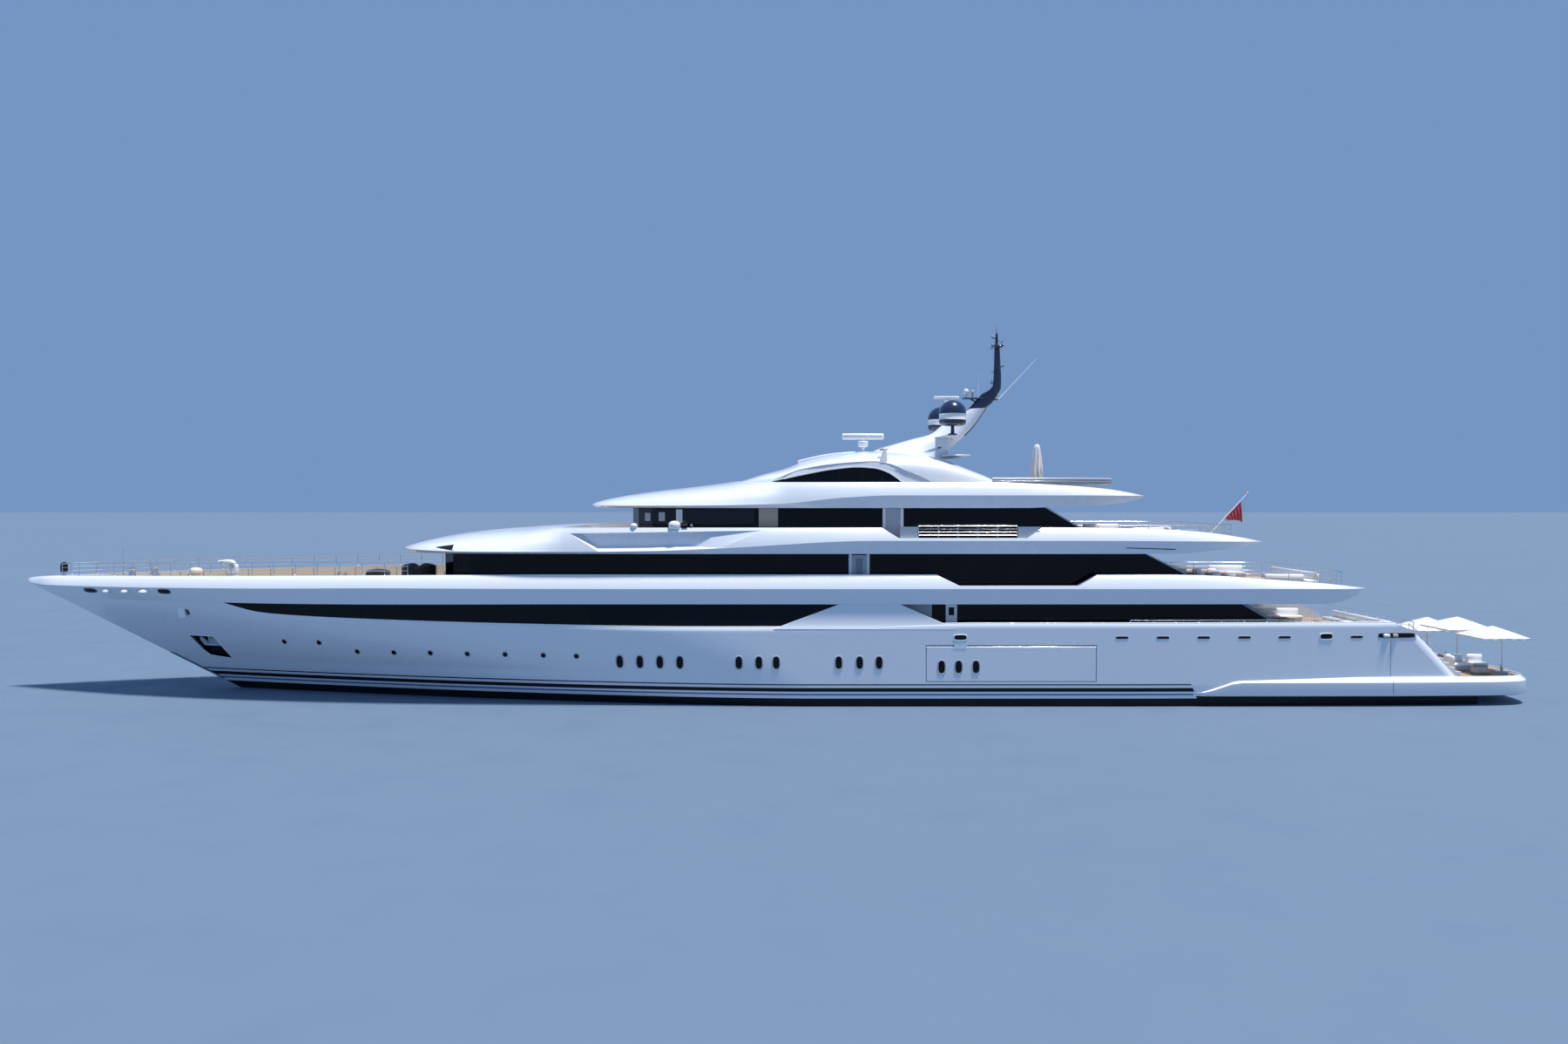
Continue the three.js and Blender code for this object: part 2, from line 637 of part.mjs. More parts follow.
function wheelhouseBand(outer, inner, z0, z1) {
  const plan = bothSides(BRIDGE_PLAN);
  const inside = planProfile(inset(plan, inner), z0 - 1, z1 + 1);
  return planProfile(inset(plan, outer), z0, z1).subtract(inside);
}

function bridgeDeckHouse() {
  const plan = bothSides(BRIDGE_PLAN);
  const side = [
    [8, BRIDGE_DECK_Z + GAP],
    [8, SUN_SHELL_FOOT_Z - GAP],
    [-17.45, SUN_SHELL_FOOT_Z - GAP],
    [-20.3, 10.78],
    [-20.3, BRIDGE_DECK_Z + GAP],
  ];
  const block = planProfile(plan, 9, 13).intersect(sideProfile(side, -7, 7));
  const { aft, sill, head, glass, wall } = WHEELHOUSE;
  const ahead = box([aft, 9], [-7, 7], [sill, head]);
  const rebate = wheelhouseBand(-0.1, glass, sill, head).intersect(ahead);
  const room = planProfile(inset(plan, wall), BRIDGE_DECK_Z + 0.15, 11.78).intersect(
    box([aft + 0.3, 9], [-7, 7], [9, 13]),
  );
  const openings = [
    [[6, 9], [-1.35, 1.35]],
    [[5, 9], [1.6, 3.2]],
    [[5, 9], [-3.2, -1.6]],
    [[3.2, 5.6], [3.6, 7]],
    [[3.2, 5.6], [-7, -3.6]],
    [[0.5, 2.9], [3.6, 7]],
    [[0.5, 2.9], [-7, -3.6]],
  ].map(([x, y]) => box(x, y, [sill + 0.1, head - 0.1]));
  return cut(block, rebate, room, ...openings);
}

function wheelhouseGlass() {
  const { aft, sill, head, glass } = WHEELHOUSE;
  const band = wheelhouseBand(0, glass - GAP, sill + GAP, head - GAP);
  return band.intersect(box([aft + GAP, 9], [-7, 7], [9, 13]));
}

// Domed house on the sun deck
const DOME_TOP = [
  [0.25, 13.66], [-0.8, 14], [-2.4, 14.42], [-3.6, 14.88], [-5.85, 15.4], [-7.8, 15.58], [-10, 15.58],
  [-12, 15.28], [-13, 14.93], [-14.1, 14.48], [-15.2, 14.03], [-15.8, 13.72],
];
const DOME_WIDTH = [[0.25, 3.6], [-1, 4.1], [-3, 4.5], [-5, 4.6], [-11, 4.6], [-14, 4.25], [-15.8, 3.5]];
const DOME_EAVES_Z = 13.4;

function domeSolid() {
  const stations = [0.25, -0.8, -2.4, -3.6, -4.8, -5.85, -7.8, -10, -12, -13, -14.1, -15.2, -15.8];
  return stationLoft(stations, (x) => {
    const [w, top] = [along(DOME_WIDTH, x), along(DOME_TOP, x)];
    const rise = top - DOME_EAVES_Z;
    return [
      [0, SUN_DECK_Z + GAP],
      [w, SUN_DECK_Z + GAP],
      [w, DOME_EAVES_Z],
      [w - 0.22, DOME_EAVES_Z + 0.5 * rise],
      [w - 0.6, DOME_EAVES_Z + 0.7 * rise],
      [0.62 * w, DOME_EAVES_Z + 0.88 * rise],
      [0.3 * w, DOME_EAVES_Z + 0.98 * rise],
      [0, top],
    ];
  });
}

const ARCH_WINDOW = [
  [-1.5, 13.52], [-3.6, 13.98], [-5.5, 14.32], [-7, 14.45], [-8, 14.38], [-8.9, 14.08], [-9.7, 13.52],
];

// The arch window's outline through the dome's skin, as deep as the glass and out into the open
function archPrism(dome, side, depth, shrink) {
  const [middleX, middleZ] = [-6, 13.9];
  const shrunk = (middle, value) => middle + (value - middle) * shrink;
  const rows = ARCH_WINDOW.map(([x, z]) => [shrunk(middleX, x), shrunk(middleZ, z)]);
  const [y0, y1] = side > 0 ? [2, 6] : [-6, -2];
  return sideProfile(rows, y0, y1).subtract(dome.translate(0, -side * depth, 0));
}

// Mast arch, mast and aerials

function mastFin(dome) {
  const rows = [
    [-8.15, 15.5], [-10.2, 16.2], [-12, 16.66], [-12.8, 17.3], [-14.5, 18.36], [-15.8, 18.5], [-14.6, 16.77],
    [-13.6, 16.04], [-12.9, 15.45], [-12.2, 15],
  ];
  const opening = [[-11.4, 15.62], [-12.2, 15.9], [-12.9, 16.12], [-12.5, 15.75]];
  const fin = cut(sideProfile(rows, -0.55, 0.55), sideProfile(opening, -2, 2));
  const wing = planProfile(bothSides([[-12, 0], [-12.5, 3.3], [-14.2, 3.3], [-14.3, 0]]), 16.42, 16.56);
  const lowWing = planProfile(bothSides([[-12.3, 0], [-12.6, 1.5], [-14.6, 1.9]]), 15.16, 15.26);
  return fitTo(join([fin, wing, lowWing]), dome, 0, 0, 1);
}

function mastTower(fin) {
  const rows = [
    [-14.6, 18.2], [-15.1, 19], [-15.5, 19.4], [-16.1, 19.72], [-16.2, 20], [-16.25, 22.45], [-16.6, 22.45],
    [-16.7, 20.4], [-16.72, 19.8], [-16.3, 19], [-15.75, 18.2],
  ];
  const tower = sideProfile(rows, -0.2, 0.2);
  const arm = box([-15.4, -14.1], [-0.35, 0.35], [19.02, 19.12]);
  const crosstree = box([-16.75, -16.1], [-0.75, 0.75], [22.4, 22.52]);
  const yard = box([-16.6, -16.3], [-2, 2], [20.95, 21.03]);
  const topmast = rod([MAST_X, 0, 22.4], [MAST_X, 0, 23.4], 0.12, 0.07);
  const aerial = rod([MAST_X, 0, 23.3], [MAST_X, 0, 23.85], 0.03, 0.02, 6);
  const ballRows = [[0, 19.1], [0.06, 19.1], [0.06, 19.3], [0.16, 19.45], [0.12, 19.65], [0, 19.7]];
  const ball = turned(ballRows, -14.4, 0, 8);
  return fitTo(join([tower, arm, crosstree, yard, topmast, aerial, ball]), fin, 0, 0, 1);
}

function radarPedestal(radar, foot, waist) {
  const { x, y, z } = radar;
  const [spindle, head] = [0.05, z - CLEARANCE];
  const rows = [
    [0, foot], [waist, foot], [waist * 0.8, z - 0.35], [waist, z - 0.3], [waist, head], [spindle, head],
    [spindle, z - GAP], [0, z - GAP],
  ];
  return turned(rows, x, y);
}

function radarScanner({ x, y, z, length }) {
  const half = length / 2;
  return join([
    box([x - half, x + half], [y - 0.14, y + 0.14], [z + 0.12, z + 0.38]),
    rod([x, y, z], [x, y, z + 0.2], 0.12, 0.12, 12),
  ]);
}

function satelliteDome(side) {
  const { x, y, foot, radius } = SATELLITE_DOME;
  const middle = foot + 1.32; // of the dome's round top
  const rows = [
    [0, foot], [0.32, foot], [0.12, foot + 0.06], [0.12, foot + 0.5], [0.55, foot + 0.52],
    [radius * 0.96, foot + 0.62], [radius, foot + 0.9], [radius, middle],
  ];
  for (let i = 1; i <= 5; i++) {
    const turn = (i * Math.PI) / 10;
    rows.push([radius * Math.cos(turn), middle + radius * Math.sin(turn)]);
  }
  rows[rows.length - 1][0] = 0;
  return turned(rows, x, side * y, 16);
}

// Underwater gear

function screw(side) {
  const { y, z, screw: x } = SHAFT;
  const hub = rod([x + 0.35, side * y, z], [x - 0.55, side * y, z], 0.26, 0.14, 12);
  const blades = [];
  const count = 5;
  for (let i = 0; i < count; i++) {
    const outline = new THREE.Shape();
    outline.moveTo(-0.12, 0.1);
    outline.bezierCurveTo(-0.55, 0.5, -0.5, SCREW_RADIUS, 0.05, SCREW_RADIUS);
    outline.bezierCurveTo(0.42, SCREW_RADIUS - 0.05, 0.35, 0.5, 0.12, 0.1);
    const blade = new THREE.ExtrudeGeometry(outline, { depth: 0.05, bevelEnabled: false, curveSegments: 5 });
    blade.translate(0, 0, -0.025);
    blade.rotateY(side * 1.05);
    blade.rotateX((i * 2 * Math.PI) / count);
    blade.translate(x - 0.05, side * y, z);
    blades.push(solid(blade));
  }
  return join([hub, ...blades]);
}

function shaftLine(side, hull) {
  const { y, z, front, screw: x } = SHAFT;
  const end = x + 0.35 + GAP;
  const line = rod([front, side * y, z], [end, side * y, z], 0.14, 0.14, 10);
  const bearing = rod([end + 0.9, side * y, z], [end + 0.05, side * y, z], 0.24, 0.24, 10);
  const strut = (lean) => {
    const rows = [[end + 0.15, 0], [end + 0.8, 0], [end + 1.1, 2.4], [end + 0.5, 2.4]];
    const piece = sideProfile(rows, -0.05, 0.05);
    return piece.rotate(lean, 0, 0).translate(0, side * y, z);
  };
  return fitTo(join([line, bearing, strut(26), strut(-26)]), hull, 0, 0, -1);
}

function rudder(side) {
  const { x, head, foot } = RUDDER;
  const plan = bothSides([[0.55, 0], [0.35, 0.13], [0, 0.17], [-0.6, 0.12], [-1.25, 0.02]]);
  return planProfile(plan, foot, head).translate(x, side * SHAFT.y, 0);
}

// The rudder's stock, from the blade's head up into the hull
function rudderStock(side, hull) {
  const { x, head } = RUDDER;
  const post = rod([x, side * SHAFT.y, head + GAP], [x, side * SHAFT.y, head + 2], 0.2, 0.26, 10);
  return fitTo(post, hull, 0, 0, -1);
}

function stabiliserFin(side, hull) {
  const rows = [[0.9, -0.6], [-1.1, -0.6], [-1.3, 1.4], [0.1, 1.4]];
  const { x, y, z, tilt } = FIN;
  const blade = planProfile(rows, -0.09, 0.09).rotate(-tilt, 0, 0).translate(x, y, z);
  const fin = fitTo(blade, hull, 0, 1, -1);
  return side > 0 ? fin : fin.mirror([0, 1, 0]);
}

// Deck fittings

// Posts with a top rail and a middle rail, along points of [x, y, z] at the posts' feet
function railing(feet, height, radius = 0.04) {
  const ribbon = (low, high) =>
    loft(
      feet.map(([x, y, z], i) => {
        const [ax, ay] = feet[Math.max(0, i - 1)];
        const [bx, by] = feet[Math.min(feet.length - 1, i + 1)];
        const across = new THREE.Vector2(ay - by, bx - ax).setLength(radius);
        const corner = (side, up) => new THREE.Vector3(x + side * across.x, y + side * across.y, z + up);
        return [corner(-1, low), corner(1, low), corner(1, high), corner(-1, high)];
      }),
    );
  const posts = feet.map(([x, y, z]) =>
    box([x - radius * 0.7, x + radius * 0.7], [y - radius * 0.7, y + radius * 0.7], [z, z + height - radius]),
  );
  const top = ribbon(height - 2 * radius, height);
  const middle = ribbon(height / 2 - radius, height / 2 + radius);
  return join([top, middle, ...posts]);
}

// Evenly spaced rail feet on the foredeck's bulwark
function foredeckFeet(side) {
  const { front, aft, posts, inward } = { front: 45, aft: 20.5, posts: 14, inward: 0.6 };
  return Array.from({ length: posts }, (_, i) => {
    const x = front + ((aft - front) * i) / (posts - 1);
    return [x, side * (upperForm.y(x) - inward), upperForm.top(x) + GAP];
  });
}

const AFT_RAILS = {
  upper: {
    half: [
      [-28.5, 5.9], [-30, 5.9], [-31.6, 5.85], [-33.2, 5.8], [-34.8, 5.7], [-36.3, 5.4], [-37, 4.6],
      [-37.1, 3], [-37.1, 1.5],
    ],
    deck: UPPER_DECK_Z,
    height: 1.1,
  },
  bridge: {
    half: [
      [-21.5, 5.95], [-23, 5.9], [-24.6, 5.85], [-26.2, 5.8], [-27.8, 5.7], [-29.4, 5.4], [-30.2, 4.4],
      [-30.2, 2.9], [-30.2, 1.4],
    ],
    deck: BRIDGE_DECK_Z,
    height: 1.1,
  },
  sun: {
    half: [[-16.4, 5.2], [-18, 5.2], [-19.6, 5.1], [-21.2, 4.9], [-22.6, 4.4], [-23.1, 3.2], [-23.1, 1.6]],
    deck: SUN_DECK_Z,
    height: 1.15,
  },
};

// Rail round an open aft deck: along the port side, across the stern and back along the starboard side
function aftRail({ half, deck, height }) {
  const port = half.map(([x, y]) => [x, y, deck + GAP]);
  const starboard = half.map(([x, y]) => [x, -y, deck + GAP]).reverse();
  return railing([...port, ...starboard], height);
}

function windlass(side) {
  const [x, y, z] = [39.9, side * 1.3, UPPER_DECK_Z + GAP];
  return join([
    box([x - 0.6, x + 0.6], [y - 0.45, y + 0.45], [z, z + 0.25]),
    rod([x, y, z + 0.2], [x, y, z + 0.75], 0.4, 0.34, 12),
    rod([x, y, z + 0.7], [x, y, z + 1.15], 0.2, 0.26, 12),
  ]);
}

function davitPost() {
  const { x, y, deck } = DAVIT;
  return turned([[0, deck + GAP], [0.3, deck + GAP], [0.24, deck + 0.9], [0, deck + 0.9]], x, y, 12);
}

function davitArm() {
  const { x, y, deck } = DAVIT;
  const base = deck + 0.9 + GAP;
  const rows = [
    [x - 0.28, base], [x + 0.22, base], [x + 0.3, base + 0.45], [x + 0.95, base + 0.5],
    [x + 0.95, base + 0.82], [x + 0.1, base + 0.85], [x - 0.28, base + 0.5],
  ];
  return sideProfile(rows, y - 0.2, y + 0.2);
}

function coveredBox([x, y], [length, width, height]) {
  const z = UPPER_DECK_Z + GAP;
  return stationLoft([-0.5, -0.36, 0, 0.36, 0.5].map((t) => t * length), (t) => {
    const share = Math.cos((t / length) * 2.2) ** 0.6;
    const [w, h] = [width / 2, height * share];
    return [[0, 0], [w * share, 0], [w * share, h * 0.55], [w * 0.7 * share, h * 0.9], [0, h]];
  }).translate(x, y, z);
}

// A square parasol. The post stands aft of the middle by postAft.
function parasol({ x, y, foot, eaves, apex, width, postAft }) {
  const ring = (half, z) =>
    [[-1, -1], [1, -1], [1, 1], [-1, 1]].map(([a, b]) => new THREE.Vector3(x + a * half, y + b * half, z));
  const canopy = loft([ring(width / 2, eaves), ring(width / 2 - 0.03, eaves + 0.08), ring(0.06, apex)]);
  const post = [x - postAft, y];
  const pole = rod([...post, foot + GAP], [...post, eaves + 0.15], 0.05, 0.05, 8);
  const base = rod([...post, foot + GAP], [...post, foot + 0.1], 0.4, 0.4, 10);
  return join([canopy, pole, base]);
}

function foldedParasol([x, y], foot) {
  const base = rod([x, y, foot + GAP], [x, y, foot + 0.12], 0.42, 0.42, 10);
  const pole = rod([x, y, foot + 0.05], [x, y, foot + 1.3], 0.05, 0.05, 8);
  const rows = [[0, foot + 1.1], [0.34, foot + 1.15], [0.3, foot + 2], [0.16, foot + 3.2], [0, foot + 3.5]];
  const cover = turned(rows, x, y, 8);
  return join([base, pole, cover]);
}

function ensignStaff() {
  const deck = box([-32, -30], [-1, 1], [BRIDGE_DECK_Z - 1, BRIDGE_DECK_Z + GAP]);
  const { foot, head, radius } = ENSIGN_STAFF;
  return cut(rod([foot[0], 0, foot[1]], [head[0], 0, head[1]], radius, radius, 8), deck);
}

// The flag hangs limp from the raked staff
function ensign() {
  const { foot, head, radius } = ENSIGN_STAFF;
  const up = new THREE.Vector2(...head).sub(new THREE.Vector2(...foot)).normalize();
  const at = (share, drop) => {
    const point = new THREE.Vector2(...head).addScaledVector(up, -share * ENSIGN_STAFF.hoist - 0.7);
    return [point.x - up.y * (radius + GAP), point.y + up.x * (radius + GAP) - drop];
  };
  const rows = [at(0, 0), at(1, 0), at(0.95, 0.2), at(0.7, 0.6), at(0.3, 1), at(0, 1.3)];
  return sideProfile(rows, -0.03, 0.03);
}

// Assembly

const paint = (color, roughness, metalness = 0) =>
  new THREE.MeshStandardMaterial({ color, roughness, metalness });
const PAINT = {
  white: paint(0xf2f3f5, 0.25),
  glass: paint(0x0b0d14, 0.06),
  navy: paint(0x10182c, 0.3),
  steel: paint(0xc8ccd2, 0.25, 0.9),
  bronze: paint(0xa8834a, 0.35, 0.9),
  cover: paint(0x23262b, 0.85),
  canvas: paint(0xf4f2ec, 0.9),
  red: paint(0xb8323a, 0.85),
};

const yacht = new THREE.Group();
yacht.scale.setScalar(MODEL_MM_PER_METRE);

function place(name, material, piece) {
  const mesh = new THREE.Mesh(geometryOf(piece), material);
  mesh.name = name;
  yacht.add(mesh);
}

const hull = hullPiece();
place("hull", PAINT.white, hull);
place("main_deck_house", PAINT.glass, mainDeckHouse());
place("upper_deck_shell", PAINT.white, upperDeckShell());
place("upper_deck_house", PAINT.glass, upperDeckHouse());
place("bridge_deck_shell", PAINT.white, bridgeDeckShell());
place("bridge_deck_house", PAINT.glass, bridgeDeckHouse());
place("wheelhouse_glass", PAINT.glass, wheelhouseGlass());
place("sun_deck_shell", PAINT.white, sunDeckShell());
place("swim_platform", PAINT.white, swimPlatform());

const dome = domeSolid();
let sunHouse = dome;
for (const [name, side] of SIDES) {
  sunHouse = sunHouse.subtract(archPrism(dome, side, 0.12, 1));
  place(`arch_window_${name}`, PAINT.glass, archPrism(dome, side, 0.12 - GAP, 0.998).intersect(dome));
}
place("sun_deck_house", PAINT.white, sunHouse);
const fin = mastFin(dome);
place("mast_fin", PAINT.white, fin);
place("mast_tower", PAINT.navy, mastTower(fin));
place("radar_pedestal", PAINT.white, fitTo(radarPedestal(RADAR, 15.3, 0.35), dome, 0, 0, 1));
place("radar_scanner", PAINT.white, radarScanner(RADAR));
place("mast_radar_pedestal", PAINT.white, fitTo(radarPedestal(MAST_RADAR, 17.2, 0.2), fin, 0, 0, 1));
place("mast_radar_scanner", PAINT.white, radarScanner(MAST_RADAR));

place("davit_post", PAINT.white, davitPost());
place("davit_arm", PAINT.white, davitArm());
place("deck_box_aft", PAINT.cover, coveredBox([20.9, 2.6], [2, 1.7, 1.6]));
place("deck_box_forward", PAINT.cover, coveredBox([23.5, 2.6], [1.4, 1.3, 1.2]));
place("sun_parasol", PAINT.canvas, foldedParasol([-18.2, 2.4], SUN_DECK_Z));
place("ensign_staff", PAINT.white, ensignStaff());
place("ensign", PAINT.red, ensign());
for (const { name, ...sizes } of STERN_PARASOLS) {
  place(`stern_parasol_${name}`, PAINT.canvas, parasol({ foot: PLATFORM_Z, ...sizes }));
}
const transomPosts = [-5.6, -4.2, -2.8, -1.4, 0, 1.4, 2.8, 4.2, 5.6];
const transomFeet = transomPosts.map((y) => [TRANSOM_WALL_X + 0.25, y, MAIN_DECK_Z + GAP]);
place("main_aft_rail", PAINT.steel, railing(transomFeet, 1.05));
for (const [name, rail] of Object.entries(AFT_RAILS)) place(`${name}_aft_rail`, PAINT.steel, aftRail(rail));

for (const [name, side] of SIDES) {
  place(`side_wing_${name}`, PAINT.white, sideWing(side));
  place(`garage_door_${name}`, PAINT.white, garageDoor(side));
  place(`stern_stairs_${name}`, PAINT.white, sternStairs(side));
  place(`satellite_dome_${name}`, PAINT.navy, satelliteDome(side));
  place(`propeller_${name}`, PAINT.bronze, screw(side));
  place(`shaft_${name}`, PAINT.steel, shaftLine(side, hull));
  place(`rudder_${name}`, PAINT.navy, rudder(side));
  place(`rudder_stock_${name}`, PAINT.navy, rudderStock(side, hull));
  place(`windlass_${name}`, PAINT.steel, windlass(side));
  place(`foredeck_rail_${name}`, PAINT.steel, railing(foredeckFeet(side), 0.8));
  place(`stabiliser_${name}`, PAINT.navy, stabiliserFin(side, hull));
}

export default yacht;
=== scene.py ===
"""A long white motor yacht as a 1:10 model, dressed round its CAD frame.

Shapes are drawn in real metres and scaled by K, so a number here is one on the real yacht.
+X is forward, +Y is port, +Z is up, and the water's surface is at z = 0. Tables name their columns.
"""
import bisect
import math

import bmesh
import bpy
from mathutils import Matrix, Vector


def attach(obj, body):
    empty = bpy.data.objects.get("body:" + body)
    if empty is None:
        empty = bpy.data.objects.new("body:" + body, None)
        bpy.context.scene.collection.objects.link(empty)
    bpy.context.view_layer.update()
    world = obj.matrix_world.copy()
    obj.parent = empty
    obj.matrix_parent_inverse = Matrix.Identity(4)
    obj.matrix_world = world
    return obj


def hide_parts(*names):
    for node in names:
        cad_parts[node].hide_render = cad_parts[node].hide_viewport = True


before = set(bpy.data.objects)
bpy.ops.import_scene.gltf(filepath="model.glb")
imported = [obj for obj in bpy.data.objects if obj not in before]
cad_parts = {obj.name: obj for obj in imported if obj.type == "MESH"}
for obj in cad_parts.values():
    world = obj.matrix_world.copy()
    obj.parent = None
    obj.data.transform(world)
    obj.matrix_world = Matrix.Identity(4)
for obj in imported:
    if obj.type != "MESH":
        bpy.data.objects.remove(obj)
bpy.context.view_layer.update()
K = 0.1

# Hull
HALF_BEAM = 7.1
BOTTOM_Z = -3.75
KEEL_Z = -3.9
STEM_FOOT_X = 33.6
STEM_RUN = 1.987
FOREFOOT_X = 24
RUN_START_X = -12
TRANSOM_X = -44.5
TRANSOM_FOOT_Z = -0.7
CHINE_Z = 2
PARALLEL_END_X = -22
PLATFORM_Z = 1.66
PLATFORM_FRONT_X = -43.2
TRANSOM_WALL_X = -41.2
WELL_FRONT_X = -9
WIDE = 9

# Decks
MAIN_DECK_Z = 3.9
UPPER_DECK_Z = 6.85
BRIDGE_DECK_Z = 9.75
SUN_DECK_Z = 12.5
UPPER_FOOT_Z = 6.14
BRIDGE_FOOT_Z = 9.16
SUN_FOOT_Z = 11.92
BULWARK = 0.72
TEAK_THICK = 0.018
PLATFORM_TEAK = 0.012
SILL = 0.03  # frames and panels start this far above a deck

SIDES = (("port", 1), ("starboard", -1))


# Numbers between the rows of a table

def clamp(value, low=0.0, high=1.0):
    return max(low, min(high, value))


def mix(a, b, t):
    return a + (b - a) * t


def spread(start, stop, count):
    return [start + (stop - start) * i / (count - 1) for i in range(count)]


def about(middle, half):
    return middle - half, middle + half


def straight(rows):
    """A function of x with straight lines between (x, value) rows."""
    xs, vs = zip(*sorted(rows))

    def value(x):
        if x <= xs[0]:
            return vs[0]
        if x >= xs[-1]:
            return vs[-1]
        i = bisect.bisect_right(xs, x)
        return vs[i - 1] + (vs[i] - vs[i - 1]) * (x - xs[i - 1]) / (xs[i] - xs[i - 1])

    return value


def smooth(rows):
    """A function of x with a smooth curve through (x, value) rows that never overshoots them."""
    xs, vs = zip(*sorted(rows))
    steps = [(vs[i + 1] - vs[i]) / (xs[i + 1] - xs[i]) for i in range(len(xs) - 1)]
    inner = [0 if a * b <= 0 else 2 * a * b / (a + b) for a, b in zip(steps, steps[1:])]
    slopes = [steps[0], *inner, steps[-1]]

    def value(x):
        if x <= xs[0]:
            return vs[0]
        if x >= xs[-1]:
            return vs[-1]
        i = bisect.bisect_right(xs, x) - 1
        h = xs[i + 1] - xs[i]
        t = (x - xs[i]) / h
        return (vs[i] * (1 + 2 * t) * (1 - t) ** 2 + vs[i + 1] * t * t * (3 - 2 * t)
                + h * slopes[i] * t * (1 - t) ** 2 - h * slopes[i + 1] * t * t * (1 - t))

    return value


def level_y(rows, z, above):
    """Half-breadth at a height on (y, z) rows that rise."""
    for (y0, z0), (y1, z1) in zip(rows, rows[1:]):
        if z <= z1:
            return mix(y0, y1, clamp((z - z0) / max(1e-6, z1 - z0)))
    return above


def turns(count, shift=0.0):
    return [2 * math.pi * (k + shift) / count for k in range(count)]


def circle(count, shift=0.0):
    return [(math.cos(t), math.sin(t)) for t in turns(count, shift)]


def signed(value, power):
    return math.copysign(abs(value) ** power, value)


def rounded(a, b, power=2.0, count=28, shift=0.5):
    """A round outline of half-sizes a and b, squarer as power grows."""
    return [(a * signed(c, 2 / power), b * signed(s, 2 / power)) for c, s in circle(count, shift)]


# Hull form

bilge_at = smooth([(-44, 2.2), (-10, 2.6), (8, 2.4), (22, 1.5), (33, 1.2)])
floor_at = smooth([(-44, 1.7), (-10, 2.4), (8, 2.1), (22, 1.3), (33, 1.1)])
hull_top = smooth([
    (-45, 5.02), (-14, 5.02), (-10.5, 4.96), (-4, 4.8), (3, 4.79), (12, 4.89), (24, 5.1), (28.4, 5.26),
    (30.4, 5.42), (31.7, 5.7), (32.5, 6), (46, 6),
])
upper_foot = smooth([
    (-37.9, 7.03), (-36.5, 6.34), (-35.5, UPPER_FOOT_Z), (10, UPPER_FOOT_Z), (32.8, 6.003), (46, 6.003),
])


def stem_x(z):
    if z >= 0:
        return STEM_FOOT_X + z * STEM_RUN
    return FOREFOOT_X + (STEM_FOOT_X - FOREFOOT_X) * math.sqrt(max(0, 1 - (z / BOTTOM_Z) ** 2))


def keel_z(x):
    if x >= STEM_FOOT_X:
        return (x - STEM_FOOT_X) / STEM_RUN
    if x >= FOREFOOT_X:
        return BOTTOM_Z * math.sqrt(1 - ((x - FOREFOOT_X) / (STEM_FOOT_X - FOREFOOT_X)) ** 2)
    if x >= RUN_START_X:
        return BOTTOM_Z
    rise = clamp((RUN_START_X - x) / (RUN_START_X - TRANSOM_X))
    return BOTTOM_Z + (TRANSOM_FOOT_Z - BOTTOM_Z) * rise ** 1.3


def side_y(x, z):
    """Half-breadth of the topsides."""
    widest = HALF_BEAM - 0.2 * clamp(1 - z / 1.4) ** 2
    entry = 38.6 + 0.9 * z
    flare = 1.5 + 0.05 * min(z, CHINE_Z) + 0.235 * max(0, z - CHINE_Z)
    forward = 1 - (1 - clamp((stem_x(z) - x) / entry)) ** flare
    aft = 1 - 0.1 * clamp((PARALLEL_END_X - x) / (PARALLEL_END_X + 45)) ** 1.6
    return widest * forward * aft


def bottom_y(x, share):
    """Half-breadth of the bottom, from share 0 at the keel to 1 at the waterline."""
    if keel_z(x) >= 0:
        return 0
    return side_y(x, 0) * (1 - (1 - share) ** bilge_at(x)) ** (1 / floor_at(x))


# Materials

class Paint:
    """A material in the making, with its nodes."""

    def __init__(self, name):
        self.made = bpy.data.materials.new(name)
        self.made.use_nodes = True
        self.nodes = self.made.node_tree.nodes
        self.shader = self.nodes["Principled BSDF"]

    def node(self, kind, **inputs):
        node = self.nodes.new(f"ShaderNode{kind}")
        for key, value in inputs.items():
            node.inputs[key.replace("_", " ")].default_value = value
        return node

    def join(self, output, node, key):
        self.made.node_tree.links.new(output, node.inputs[key])

    def on_model(self):
        return self.node("TexCoord").outputs["Object"]

    def grain(self, scale, detail=2.0, stretch=(1, 1, 1)):
        """Noise laid over the model itself, as a value from 0 to 1."""
        mapping = self.node("Mapping", Scale=stretch)
        noise = self.node("TexNoise", Scale=scale, Detail=detail)
        self.join(self.on_model(), mapping, "Vector")
        self.join(mapping.outputs["Vector"], noise, "Vector")
        return noise.outputs["Fac"]

    def ranged(self, value, low, high):
        node = self.node("MapRange", From_Min=0.3, From_Max=0.7, To_Min=low, To_Max=high)
        self.join(value, node, "Value")
        return node.outputs["Result"]

    def two_tone(self, value, dark, light):
        ramp = self.node("ValToRGB")
        for element, place, colour in zip(ramp.color_ramp.elements, (0.3, 0.7), (dark, light)):
            element.position = place
            element.color = (*colour, 1)
        self.join(value, ramp, "Fac")
        return ramp.outputs["Color"]

    def bump(self, value, distance):
        node = self.node("Bump", Strength=1.0, Distance=distance)
        self.join(value, node, "Height")
        self.join(node.outputs["Normal"], self.shader, "Normal")

    def finish(self, colour, mottle, patches, roughness, sockets):
        """The colour mottled by patches, the roughness, and the shader's other sockets."""
        dark = [c * (1 - mottle) for c in colour]
        light = [min(1, c * (1 + mottle)) for c in colour]
        self.join(self.two_tone(patches, dark, light), self.shader, "Base Color")
        self.join(roughness, self.shader, "Roughness")
        for key, value in sockets.items():
            self.shader.inputs[key.replace("_", " ")].default_value = value
        return self.made


